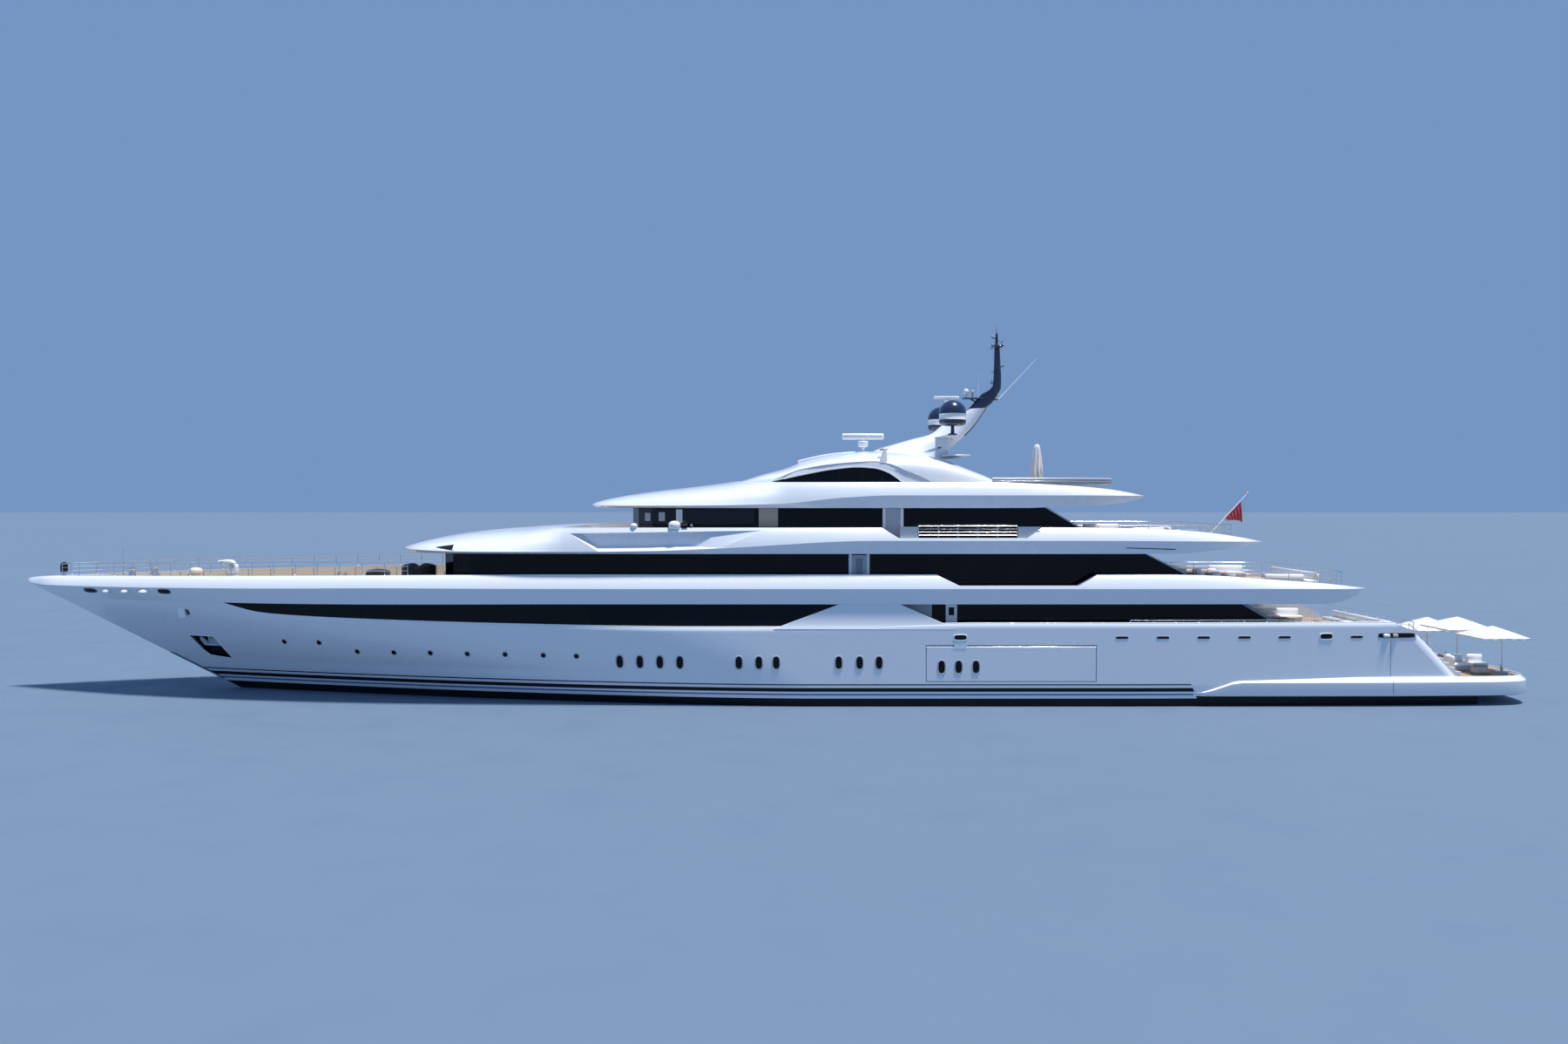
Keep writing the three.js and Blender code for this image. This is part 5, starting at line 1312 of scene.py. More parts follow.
def make_rails():
    for name, deck, height, half in AFT_RAILS:
        feet = [(x, y, deck + 0.02) for x, y in both_sides(half)]
        made = rail(Form(), feet, height - 0.02)
        if name == "sun":
            # A pale padded top rail, and under it a grey tube that is a painted shade band
            for lift, radius, look in ((0.03, 0.08, PALE_GREY), (-0.15, 0.1, GREY)):
                made.add(look, tube([(x, y, z + height + lift) for x, y, z in feet], radius))
        made.make(f"{name}_rail", "steel", 60, replaces=f"{name}_aft_rail")
    feet = [(TRANSOM_WALL_X + 0.25, y, MAIN_DECK_Z + 0.02) for y in spread(-5.6, 5.6, 9)]
    rail(Form(), feet, 1.03).make("transom_rail", "steel", 60, replaces="main_aft_rail")
    for name, side in SIDES:
        feet = [(x, side * (upper_y(x) - 0.6), UPPER["top"](x) + GAP) for x in spread(45, 20.5, 18)]
        made = rail(Form(), feet, 0.78, 2)
        made.make(f"foredeck_stanchions_{name}", "steel", 60, replaces=f"foredeck_rail_{name}")
        # Rail in the bridge bulwark's low stretch, between two pale panels
        feet = [(x, side * 6.62, 10.12) for x in spread(-10.5, -16.45, 6)]
        made = rail(Form(), feet, 0.72, 3, 0.03, 0.025)
        for panel in RAIL_PANELS:
            made.add(PALE_GREY, plate(panel, side * 6.58, side * 6.66))
        made.make(f"bridge_side_rail_{name}", "steel", 50)
        # Hand rail on the bulwark's cap beside the after deck
        feet = [(x, side * (well_y(x) - 0.2), hull_top(x) + 0.02) for x in spread(-23.2, -38.4, 12)]
        rail(Form(), feet, 0.14, 0, 0.025, 0.02).make(f"main_cap_rail_{name}", "steel", 60)


# Mast, radars and aerials

MAST_FIN = [  # fore edge x and z, aft edge x and z, half-thickness
    (-7.6, 15.2, -12.6, 14.4, 2.1), (-8.4, 15.68, -12.8, 14.85, 1.75), (-9.6, 16.06, -13.1, 15.3, 1.4),
    (-10.8, 16.4, -13.4, 15.75, 1.12), (-12, 16.72, -13.75, 16.14, 0.88), (-12.75, 17.26, -14.2, 16.5, 0.68),
    (-13.6, 17.82, -14.8, 17.1, 0.5), (-14.5, 18.38, -15.76, 18.46, 0.34),
]
MAST_TOWER = [
    (-14.55, 18.4, -15.74, 18.48, 0.33), (-14.95, 18.85, -16.1, 18.78, 0.28),
    (-15.4, 19.35, -16.5, 19.36, 0.24), (-15.95, 19.68, -16.7, 19.85, 0.21),
    (-16.17, 20.05, -16.71, 20.4, 0.19), (-16.22, 21.2, -16.66, 21.3, 0.17),
    (-16.25, 22.42, -16.6, 22.42, 0.15),
]
MAST_WING = [  # y, fore x, aft x, z, thickness
    (0, -12.0, -14.2, 16.49, 0.15), (0.8, -12.2, -14.05, 16.49, 0.15), (1.6, -12.5, -13.75, 16.49, 0.15),
    (2.5, -12.6, -13.62, 16.49, 0.15), (3.0, -12.62, -13.58, 16.49, 0.13), (3.22, -12.8, -13.4, 16.49, 0.05),
]
LOW_WING = [
    (0, -12.2, -14.0, 15.22, 0.3), (0.8, -12.4, -14.25, 15.24, 0.27), (1.4, -12.8, -14.4, 15.26, 0.2),
    (1.8, -13.4, -14.47, 15.27, 0.12), (1.95, -13.8, -14.45, 15.27, 0.03),
]
FIN_OPENING = [
    (-11.4, 15.5), (-11.85, 15.66), (-12.3, 15.82), (-12.66, 15.88), (-12.6, 15.76), (-12.25, 15.6),
    (-11.85, 15.5),
]
TOWER_PARTS = [
    block((-15.5, -14.15), (-0.32, 0.32), (19.02, 19.12), 0.03),
    tube([(-14.7, 0, 19.02), (-15.3, 0, 18.75)], 0.05),
    block((-16.74, -16.08), (-0.72, 0.72), (22.4, 22.52), 0.04),
    tube([(-16.45, -2, 20.99), (-16.45, 2, 20.99)], 0.045),
    turned(-16.4, 0, 22.4, [(0, 0), (0.12, 0.05), (0.1, 0.5), (0.07, 0.95), (0, 0.95)], 16),
]
MAST_LAMPS = [
    (-16.12, 0, 23.08), (-16.12, 0, 22.55), (-16.42, 0.55, 22.52), (-16.42, -0.55, 22.52), (-16.08, 0, 20.1),
]
LAMP_ARMS = [  # x from and to, z, radius
    (-16.35, -16.12, 23.04, 0.03), (-16.3, -16.1, 22.5, 0.03), (-16.2, -15.98, 20.08, 0.035),
]
WIND_VANE = (-16.65, 0.3, 22.52)
BALL = [(0, 0), (0.06, 0.01), (0.06, 0.22), (0.13, 0.26), (0.185, 0.4), (0.16, 0.54), (0.08, 0.61), (0, 0.62)]
SMALL_BALL = [(0, 0), (0.05, 0.01), (0.05, 0.26), (0.1, 0.32), (0.12, 0.42), (0.08, 0.5), (0, 0.53)]


def ribbed(rows, steps, bulge=2.4, count=22):
    """A fin on smooth curves through rows of a flat oval's fore and aft ends and half-thickness."""
    tables = [smooth(enumerate(column)) for column in zip(*rows)]
    rings = []
    for t in spread(0, len(rows) - 1, steps):
        fx, fz, ax, az, half = (table(t) for table in tables)
        oval = [(0.5 + 0.5 * u, v) for u, v in rounded(1, 1, bulge, count, 0)]
        rings.append([(mix(ax, fx, u), half * v, mix(az, fz, u)) for u, v in oval])
    return skin(rings)


def wing_of(rows):
    """A thin level wing, mirrored to starboard."""
    rings = [
        [(mix(aft, fore, 0.5 + 0.5 * c), y, z + thick / 2 * signed(s, 0.7)) for c, s in circle(20)]
        for y, fore, aft, z, thick in rows
    ]
    return skin([[(x, -y, z) for x, y, z in ring] for ring in reversed(rings[1:])] + rings)


def fin_paint_and_shade(centre, normal):
    if abs(centre.y) < 0.4 and normal.x < -0.55 and centre.z > 16.6:
        return BLACK
    # Faces that look down, low on the fin's after part and under its low wing, are grey: painted shade
    return GREY if centre.z < 15.3 and centre.x < -12.9 and normal.z < -0.5 else WHITE


def make_mast():
    fin = shaped("fin", ribbed(MAST_FIN, 40))
    combine(fin, "UNION", wing_of(MAST_WING), wing_of(LOW_WING))
    combine(fin, "DIFFERENCE", plate(FIN_OPENING, -3, 3))
    settle(fin, "mast_arch", "mast_fin", fin_paint_and_shade, 40)

    tower = Form().add(NAVY, ribbed(MAST_TOWER, 34), *TOWER_PARTS)
    tower.add(GREY, turned(-16.4, 0, 23.3, [(0, 0), (0.028, 0), (0.012, 0.54), (0, 0.54)], 8))
    tower.make("mast_column", "navy_paint", 45, replaces="mast_tower")

    aerials = Form()
    for x, y, z in MAST_LAMPS:
        aerials.add(PALE_GREY, turned(x, y, z, MAST_LAMP, 14))
        aerials.add(GREY, turned(x, y, z, [(0, -0.05), (0.08, -0.05), (0.08, 0.01), (0, 0.01)], 14))
    for x0, x1, z, radius in LAMP_ARMS:
        aerials.add(NAVY, tube([(x0, 0, z), (x1, 0, z)], radius, 6))
    aerials.add(BRIGHT, turned(-14.4, 0, 19.1, BALL, 18))
    aerials.add(PALE_GREY, turned(-14.8, 0.12, 19.1, SMALL_BALL, 16))
    for x, y, head in ((-15.17, 0.26, 20.72), (-15.5, -0.26, 21.18)):
        aerials.add(BRIGHT, tube([(x, y, 19.12), (x, y, 19.37), (x, y, head)], [0.03, 0.018, 0.008], 7))
    for y in (0.14, -0.14):
        stay = [(-16.45, y, 18.95), (-16.9, y, 19.42), (-19.05, y, 21.72)]
        aerials.add(BRIGHT, tube(stay, [0.028, 0.02, 0.009], 7))
        aerials.add(NAVY, tube([(-16.0, y, 19.0), (-16.5, y, 19.0)], 0.035, 6))
    x, y, z = WIND_VANE
    aerials.add(GREY, turned(x, y, z, [(0, 0), (0.02, 0), (0.02, 0.23), (0, 0.23)], 8))
    for c, s in circle(3):
        px, py = x + 0.14 * c, y + 0.14 * s
        aerials.add(GREY, tube([(x, y, z + 0.24), (px, py, z + 0.26)], 0.01, 5))
        aerials.add(BLACK, turned(px, py, z, [(0, 0.23), (0.03, 0.24), (0.035, 0.27), (0, 0.29)], 8))
    aerials.make("mast_aerials", sharp=50)


MAST_LAMP = [(0, 0), (0.06, 0.01), (0.065, 0.04), (0.065, 0.14), (0.045, 0.17), (0, 0.175)]
RADARS = (  # name, x, scanner's foot and length, pedestal's foot and half-width, bar's height over its foot
    ("", -7.6, 16.32, 2.77, 15.45, 0.35, 0.26), ("mast_", -13.1, 18.98, 1.7, 17.3, 0.2, 0.15),
)
SATCOM_X, SATCOM_Y, SATCOM_Z, SATCOM_RADIUS, SATCOM_MIDDLE = -13.1, 2.8, 16.563, 0.86, 1.32
HORN_X, HORN_Z = -8.6, 14.8


def make_radars():
    for name, x, z, length, foot, waist, lift in RADARS:
        neck = waist * 0.34
        rows = [
            (0, foot), (waist * 0.6, foot), (waist * 0.5, foot + 0.1), (neck, foot + 0.18), (neck, z - 0.46),
            (waist * 0.9, z - 0.4), (waist, z - 0.34), (waist, z - 0.08), (waist * 0.9, z - 0.045),
            (0, z - 0.045),
        ]
        made = Form().add(BRIGHT, turned(x, 0, 0, rows))
        made.add(STEEL, turned(x, 0, z, [(0, -0.05), (0.05, -0.05), (0.05, -0.004), (0, -0.004)], 16))
        made.add(PALE_GREY, block((x + waist * 0.7, x + waist), (-0.12, 0.12), (z - 0.3, z - 0.1), 0.03))
        made.make(f"{name}radar_column", sharp=40, replaces=f"{name}radar_pedestal")

        half, tall = length / 2, 0.1 * length - 0.08
        rings = [
            [(x + px * half, 0.15 * grow * u, z + lift + tall * grow * v) for u, v in rounded(1, 1, 3.2, 20)]
            for px, grow in ((-1, 0.5), (-0.99, 0.8), (-0.96, 1), (0, 1.06), (0.96, 1), (0.99, 0.8), (1, 0.5))
        ]
        foot_rows = [(0, 0), (0.12, 0), (0.125, 0.03), (0.11, 0.1), (0, 0.12)]
        bar = Form().add(BRIGHT, skin(rings), turned(x, 0, z, foot_rows, 24))
        bar.add(PALE_GREY, block(about(x, half * 0.9), (0.152, 0.162), about(z + lift, 0.03), 0.005))
        bar.make(f"{name}radar_bar", sharp=40, body=f"{name}radar_scanner", replaces=f"{name}radar_scanner")


def make_domes():
    radius = SATCOM_RADIUS
    rows = [
        (0, 0), (0.3, 0), (0.28, 0.05), (0.12, 0.09), (0.11, 0.48), (0.5, 0.52), (radius * 0.9, 0.6),
        (radius * 0.985, 0.72), (radius, 0.9), (radius, 0.915), (radius * 0.994, 0.92), (radius * 0.994, 1.3),
        (radius, 1.305),
    ]
    rows += [(radius * math.cos(t), SATCOM_MIDDLE + radius * math.sin(t)) for t in spread(0, math.pi / 2, 14)]
    rows[-1] = (0, SATCOM_MIDDLE + radius)
    for name, side in SIDES:
        points, faces = turned(SATCOM_X, side * SATCOM_Y, SATCOM_Z, rows, 40)
        white = [f for f in faces if all(0.918 < points[i][2] - SATCOM_Z < 1.302 for i in f)]
        dome = Form().add(NAVY, (points, [f for f in faces if f not in white]))
        dome.add(BRIGHT, (points, white))
        dome.make(f"satcom_{name}", "navy_paint", 50, replaces=f"satellite_dome_{name}")

        x, z = HORN_X, HORN_Z
        y = side * (dome_y(x, z) - 0.05)
        rings = [
            [(x - 0.12 * t + u, y - side * 0.35 * t + v, z + 0.8 * t) for u, v in rounded(r, r * 0.35)]
            for t, r in ((-0.1, 0.28), (0.3, 0.2), (0.75, 0.12), (1, 0.1))
        ]
        trumpet = [(x - 0.12 + dx, y - side * 0.35, z + 0.78) for dx in (-0.2, 0.05, 0.32)]
        horn = Form().add(PALE_GREY, skin(rings), tube(trumpet, [0.05, 0.05, 0.12], 14))
        horn.make(f"horn_{name}", sharp=40)


# Foredeck

FOREDECK_Z = UPPER_DECK_Z + TEAK_THICK
WINDLASS = [
    (0, 0.13), (0.4, 0.14), (0.4, 0.22), (0.3, 0.27), (0.26, 0.36), (0.3, 0.46), (0.38, 0.5), (0.38, 0.58),
    (0.22, 0.62), (0.2, 0.72), (0.17, 0.86), (0.19, 1.0), (0.25, 1.06), (0.25, 1.1), (0.2, 1.13), (0, 1.13),
]
WINDLASS_X, WINDLASS_Y = 39.9, 1.3
BOLLARD = [(0, 0.05), (0.12, 0.06), (0.1, 0.12), (0.09, 0.4), (0.13, 0.42), (0.13, 0.47), (0, 0.5)]
BOLLARDS = ((42.0, 1.0), (38.0, 2.35), (35.6, 2.9), (28.6, 4.5), (21.4, 5.4))
MOUND = [
    (0, 0.1), (0.34, 0.1), (0.3, 0.2), (0.3, 0.7), (0.42, 0.76), (0.42, 0.9), (0.33, 1.02), (0.16, 1.08),
    (0, 1.1),
]
BOW_LAMP_X = 45.2
BOW_LAMP_FOOT = [(0, 0), (0.14, 0), (0.12, 0.05), (0.07, 0.08), (0.07, 0.2), (0, 0.2)]
BOW_LAMP = [(0, 0.18), (0.17, 0.18), (0.22, 0.3), (0.22, 0.66), (0.16, 0.82), (0, 0.88)]
JACKSTAFF_X = 41.3
DAVIT_X, DAVIT_Y = 32.9, 2.2
DAVIT_POST = [
    (0, 0), (0.34, 0), (0.34, 0.05), (0.29, 0.08), (0.27, 0.4), (0.25, 0.82), (0.28, 0.85), (0.28, 0.88),
    (0, 0.88),
]
DAVIT_ARM = [  # x and height over the arm's foot, of its upper edge and of its lower edge
    (-0.28, 0.02, 0.22, 0), (-0.28, 0.3, 0.27, 0.22), (-0.24, 0.5, 0.33, 0.42), (0.05, 0.8, 0.45, 0.48),
    (0.4, 0.84, 0.6, 0.5), (0.94, 0.78, 0.94, 0.54),
]


def make_foredeck():
    z = FOREDECK_Z
    for name, side in SIDES:
        x, y = WINDLASS_X, side * WINDLASS_Y
        made = Form().add(BRIGHT, block(about(x, 0.6), about(y, 0.45), (z, z + 0.14), 0.03))
        made.add(BRIGHT, block((x - 0.52, x - 0.1), about(y, 0.3), (z + 0.12, z + 0.42), 0.05))
        made.add(STEEL, turned(x + 0.05, y, z, WINDLASS, 36))
        for c, s in circle(12):
            px, py = x + 0.05 + 0.185 * c, y + 0.185 * s
            made.add(STEEL, tube([(px, py, z + 0.7), (px, py, z + 1.02)], 0.018, 5))
        chute = [(x + 0.7, y + 0.25 * side, z + 0.05), (x + 1.6, y + 0.3 * side, z + 0.05)]
        made.add(BRIGHT, tube(chute, 0.11, 12))
        made.make(f"anchor_windlass_{name}", "steel", 40, replaces=f"windlass_{name}")

        deck = Form()
        for x, y in BOLLARDS:
            deck.add(STEEL, block(about(x, 0.42), about(side * y, 0.16), (z, z + 0.06)))
            for px in about(x, 0.24):
                deck.add(STEEL, turned(px, side * y, z, BOLLARD, 18))
        deck.make(f"bollards_{name}", "steel", 40)

    cap = UPPER["top"](BOW_LAMP_X)
    gear = Form().add(BRIGHT, block((36.0, 37.0), (-0.5, 0.5), (z, z + 0.12), 0.04))
    gear.add(CREAM, turned(36.5, 0, z, MOUND, 26))
    gear.add(BRIGHT, block((43.6, 44.5), (-0.42, 0.42), (z, z + 0.35), 0.1))
    gear.add(STEEL, turned(BOW_LAMP_X, 0, cap, BOW_LAMP_FOOT, 18))
    gear.add(BLACK, turned(BOW_LAMP_X, 0, cap, BOW_LAMP, 22))
    gear.add(STEEL, tube([(JACKSTAFF_X, 0, z + h) for h in (0, 1.3, 2.5)], [0.04, 0.03, 0.015]))
    gear.make("foredeck_gear", sharp=40)

    # Davit: a fixed post, and a slewing head with its winch and sheave
    x, y, base = DAVIT_X, DAVIT_Y, UPPER_DECK_Z + 0.905
    post = Form().add(BRIGHT, turned(x, y, z, DAVIT_POST, 28))
    post.make("davit_column", sharp=40, replaces="davit_post")
    rings = []
    for ux, uz, lx, lz in DAVIT_ARM:
        outline = [(0.5 + 0.5 * v, 0.19 * u) for u, v in rounded(1, 1, 3.4, 20)]
        low, high = (x + lx, base + lz), (x + ux, base + uz)
        rings.append([(mix(low[0], high[0], t), y + out, mix(low[1], high[1], t)) for t, out in outline])
    arm = Form().add(BRIGHT, skin(rings))
    for dx, h, radius, look in ((0.72, 0.62, 0.12, STEEL), (0.05, 0.45, 0.16, PALE_GREY)):
        arm.add(look, tube([(x + dx, end, base + h) for end in about(y, 0.2)], radius, 20))
    arm.make("davit_head", sharp=40, body="davit_arm", replaces="davit_arm")


def draped(name, node, centre, size, humps, folds):
    """A fitted cover over deck gear: a crowned top, round shoulders and loose pleats down to the hem."""
    (cx, cy), (length, width, height) = centre, size
    foot, count, levels = UPPER_DECK_Z + 0.02, 96, 26
    rings = []
    for level in range(1, levels + 1):
        s = level / levels
        out, drop = min(1, s / 0.62) ** 0.9, clamp((s - 0.5) / 0.5)
        shoulder = math.sqrt(max(0, 1 - drop ** 2.2))
        ring = []
        for t in turns(count):
            u, v = signed(math.cos(t), 0.55), signed(math.sin(t), 0.55)
            pleat = 1 - 0.035 * drop ** 1.5 * (1 + math.sin(folds * t + 1.3 * math.sin(3 * t)))
            px, py = u * out * length / 2 * pleat, v * out * width / 2 * pleat
            crown = height * (1 - 0.12 * (py / (width / 2)) ** 2 - 0.1 * (px / (length / 2)) ** 2)
            crown -= height * 0.16 * humps * math.exp(-((px / (length * 0.12)) ** 2))
            ring.append((cx + px, cy + py, foot + crown * shoulder))
        rings.append(ring)
    points, faces = skin(rings, caps=False)
    points.append((cx, cy, foot + height * (1 - 0.16 * humps)))
    faces += [(len(points) - 1, (k + 1) % count, k) for k in range(count)]
    made = Form().add(COVER, (points, faces)).make(name, "dark_cover", 180, replaces=node)


# Parasols and ensign

PARASOLS = [  # name, centre x and y, eaves, apex, how far aft the pole stands, width
    ("port", -46.45, 4.55, 3.86, 4.61, 0.6, 2.9), ("middle", -46.6, 0.6, 3.96, 4.77, 0, 3.1),
    ("starboard", -46.8, -3.2, 3.45, 4.35, 0, 3.1),
]
VALANCE, CANOPY_SAG, CANOPY_DIP = 0.09, 0.02, 0.025
FOLDED_X, FOLDED_Y, FOLDED_TOP = -18.55, 2.4, 3.46
sleeve_radius = smooth([
    (1.12, 0.31), (1.3, 0.35), (1.8, 0.34), (2.3, 0.3), (2.9, 0.24), (3.25, 0.2), (3.4, 0.14),
    (FOLDED_TOP, 0.07),
])
STAFF_FOOT, STAFF_HEAD = Vector((-30.1, 0, 9.65)), Vector((-33.05, 0, 12.9))
HOIST, HOIST_TOP, FOLD = 1.6, 0.75, 0.095


def canopy(x, y, eaves, apex, width):
    """One cloth over eight ribs: it sags between them, dips at the edges and ends in a short valance."""
    half, steps = width / 2, 40
    rise = apex - eaves - 0.13

    def spot(u, v):
        r = max(abs(u), abs(v))
        along = min(abs(u), abs(v)) / r if r > 1e-6 else 0
        z = eaves + 0.11 + rise * (1 - r ** 1.08) - CANOPY_SAG * math.sin(math.pi * along) * r
        pull_u = 1 - CANOPY_DIP * (1 - v * v) * abs(u) ** 4
        pull_v = 1 - CANOPY_DIP * (1 - u * u) * abs(v) ** 4
        return x + u * half * pull_u, y + v * half * pull_v, z

    line = [2 * i / steps - 1 for i in range(steps + 1)]
    edge = [(u, -1) for u in line[:-1]] + [(1, v) for v in line[:-1]]
    edge += [(u, 1) for u in line[:0:-1]] + [(-1, v) for v in line[:0:-1]]
    rim = [spot(u, v) for u, v in edge]
    hem = []
    for k, (px, py, pz) in enumerate(rim):
        wave = 0.012 * math.sin(2 * math.pi * k / 8)
        drop = VALANCE - 0.006 * math.cos(math.pi * k / 10)
        hem.append((px + wave * (px - x) / half, py + wave * (py - y) / half, pz - drop))
    return skin([[spot(u, v) for u in line] for v in line], around=False), skin([rim, hem], caps=False)


def stand(x, y, foot, radius, thick, tall):
    rim = (radius, 0), (radius, thick), (radius - 0.04, thick + 0.03)
    return turned(x, y, foot, [(0, 0), *rim, (0.08, thick + 0.04), (0.07, tall), (0, tall)])


def make_parasols():
    for name, x, y, eaves, apex, aft, width in PARASOLS:
        px, foot = x - aft, PLATFORM_Z + PLATFORM_TEAK
        hub, half = apex - 0.14, width / 2 - 0.06
        pole_top = eaves + 0.3 if aft else apex - 0.06
        ribs = Form().add(PALE_GREY, stand(px, y, foot, 0.4, 0.06, 0.35))
        ribs.add(BRIGHT, tube([(px, y, foot + 0.08), (px, y, pole_top)], 0.045, 12))
        for dx, dy in ((1, 1), (1, 0), (1, -1), (0, -1), (-1, -1), (-1, 0), (-1, 1), (0, 1)):
            end = (x + dx * half * 0.965, y + dy * half * 0.965, eaves + 0.075)
            middle = (x + dx * half * 0.5, y + dy * half * 0.5, mix(hub, end[2], 0.52))
            ribs.add(BRIGHT, tube([(x, y, hub), end], 0.018, 6), tube([(x, y, hub - 0.45), middle], 0.013, 5))
        ribs.add(BRIGHT, turned(x, y, hub, [(0, -0.5), (0.07, -0.5), (0.07, -0.4), (0, -0.4)], 14))
        if aft:
            arm = [(px, y, pole_top), (px + 0.2, y, pole_top + 0.1), (x, y, hub - 0.02)]
            ribs.add(BRIGHT, tube(arm, 0.04, 10), tube([(x, y, hub - 0.45), (x, y, hub)], 0.03))
        ribs = ribs.make(f"parasol_frame_{name}", "canvas", 45)
        cloth = Form().add(CANVAS, *canopy(x, y, eaves, apex, width))
        made = cloth.make(f"parasol_canopy_{name}", "canvas", 24, replaces=f"stern_parasol_{name}")

    # The folded one on the sun deck, tied up in its sleeve
    x, y, foot = FOLDED_X, FOLDED_Y, SUN_DECK_Z + TEAK_THICK
    pole = Form().add(PALE_GREY, stand(x, y, foot, 0.42, 0.07, 0.4))
    pole.add(BRIGHT, tube([(x, y, foot + 0.1), (x, y, SUN_DECK_Z + FOLDED_TOP)], 0.045, 12))
    pole.make("sun_parasol_stand", "canvas", 45)
    rings = []
    for h in spread(1.12, FOLDED_TOP, 44):
        ring = []
        for t in turns(72):
            pleat = 1 + 0.16 * math.sin(8 * t + 0.8 * math.sin(h * 4)) * clamp((3.4 - h) / 0.8)
            r = sleeve_radius(h) * pleat
            ring.append((x + r * math.cos(t), y + r * math.sin(t), SUN_DECK_Z + h))
        rings.append(ring)
    sleeve = Form().add(CANVAS, skin(rings, caps=False))
    sleeve = sleeve.make("sun_parasol_cloth", "canvas", 60, replaces="sun_parasol")


def make_ensign():
    foot, head = STAFF_FOOT, STAFF_HEAD
    up = (head - foot).normalized()
    start = foot + up * (BRIDGE_DECK_Z - foot.z + 0.03) / up.z
    truck = [(0, -0.09), (0.05, -0.09), (0.06, -0.03), (0.03, 0.01), (0, 0.015)]
    shoe = about(start.x, 0.18), (-0.12, 0.12), (BRIDGE_DECK_Z + TEAK_THICK, BRIDGE_DECK_Z + 0.1)
    staff = Form().add(BRIGHT, tube([start, foot.lerp(head, 0.5), head - up * 0.08], [0.05, 0.04, 0.03], 12))
    staff.add(BRONZE, turned(head.x + 0.05, 0, head.z, truck, 14)).add(STEEL, block(*shoe))
    staff.make("ensign_pole", sharp=45, replaces="ensign_staff")

    rings = []
    for down in spread(0, 1, 45):
        ring = []
        for a in spread(0, 1, 151):
            spot = head - up * (HOIST_TOP + a * HOIST)
            drop = mix(1.38, 0.12, a ** 0.8) * down
            fold = FOLD * math.sin(2 * math.pi * (5.3 * a + 0.25 * down) + 0.7)
            fold *= (0.35 + 0.65 * down) * min(1, 3 * down + 0.1)
            x = spot.x - up.z * 0.06 + 0.12 * down * (0.5 - a) - 0.12 * down
            ring.append((x, fold, spot.z - drop - 0.05 * (1 - a)))
        rings.append(ring)
    flag = Form().add(RED_CLOTH, skin(rings, around=False))
    flag = flag.make("ensign_cloth", "red_cloth", 180, replaces="ensign")


# Stern

STAIR_STEPS, STAIR_GOING = 7, 0.36
STAIR_Y = (4.3, 5.9)
PLATFORM_BOLLARDS = ((-46.6, -6), (-48.0, -3), (-48.0, 3), (-46.6, 6))
PLATFORM_BOLLARD = [(0, 1.742), (0.07, 1.742), (0.06, 1.9), (0.1, 1.92), (0.1, 1.97), (0, 1.99)]
TRANSOM_DOOR = ((-3.4, 1.75), (3.4, 1.75), (3.4, 3.7), (-3.4, 3.7))  # y, z
TRANSOM_LIGHT_Z = 2.85


def make_stern():
    top = ledge_top(-43)
    profile = [*EDGE_PROFILE, (0, top - LEDGE_CHAMFER), (LEDGE_CHAMFER, top), (0.38, top), (0.4, PLATFORM_Z)]
    rings = [[(x, y, z) for x, y in both_sides(inset_plan(PLATFORM_PLAN, inset))] for inset, z in profile]
    Form().add(WHITE, skin(rings)).make("stern_platform", sharp=30, replaces="swim_platform")

    posts = Form()
    for x, y in PLATFORM_BOLLARDS:
        posts.add(STEEL, turned(x, y, 0, PLATFORM_BOLLARD, 16))
    posts.make("platform_bollards", "steel", 50)

    x = TRANSOM_WALL_X - 0.012
    wall = Form().add(GREY, tube([(x, y, z) for y, z in TRANSOM_DOOR], 0.02, 5, closed=True))
    for y in (-2.3, 0, 2.3):
        rings = [
            [(px, y + a * u, TRANSOM_LIGHT_Z + b * v) for u, v in rounded(1, 1, 4)]
            for px, a, b in ((x, 0.62, 0.34), (x - 0.03, 0.58, 0.3))
        ]
        wall.add(GLASS, skin(rings))
    for y in (-4.6, 4.6):
        wall.add(GLOW, block((x - 0.05, x), about(y, 0.06), (3.78, 3.86), 0.01))
    wall.make("transom_details", sharp=40)

    rise = (MAIN_DECK_Z - PLATFORM_Z) / (STAIR_STEPS + 1)
    foot_x = TRANSOM_WALL_X - STAIR_STEPS * STAIR_GOING
    for name, side in SIDES:
        made = Form()
        y0, y1 = side * (STAIR_Y[0] + 0.06), side * (STAIR_Y[1] - 0.06)
        for i in range(STAIR_STEPS):
            x, z = foot_x - GAP + i * STAIR_GOING, PLATFORM_Z + (i + 1) * rise
            made.add(TEAK, block((x + 0.02, x + STAIR_GOING - 0.03), (y0, y1), (z + 0.001, z + 0.014), 0.004))
        y = side * (STAIR_Y[0] + 0.04)
        low = (foot_x + 0.05, y, PLATFORM_Z + 1.05)
        high = (TRANSOM_WALL_X - 0.15, y, MAIN_DECK_Z + 0.8)
        path = [(low[0], y, PLATFORM_Z + 0.05), low, high, (high[0], y, MAIN_DECK_Z - rise)]
        made.add(STEEL, tube(path, 0.028))
        for t in (0.33, 0.66):
            x = mix(low[0], high[0], t)
            foot = PLATFORM_Z + rise * (1 + (x - low[0]) / STAIR_GOING) - 0.05
            made.add(STEEL, tube([(x, y, mix(low[2], high[2], t)), (x, y, foot)], 0.018, 6))
        made.make(f"stair_treads_{name}", "steel", 40)


# Underwater gear

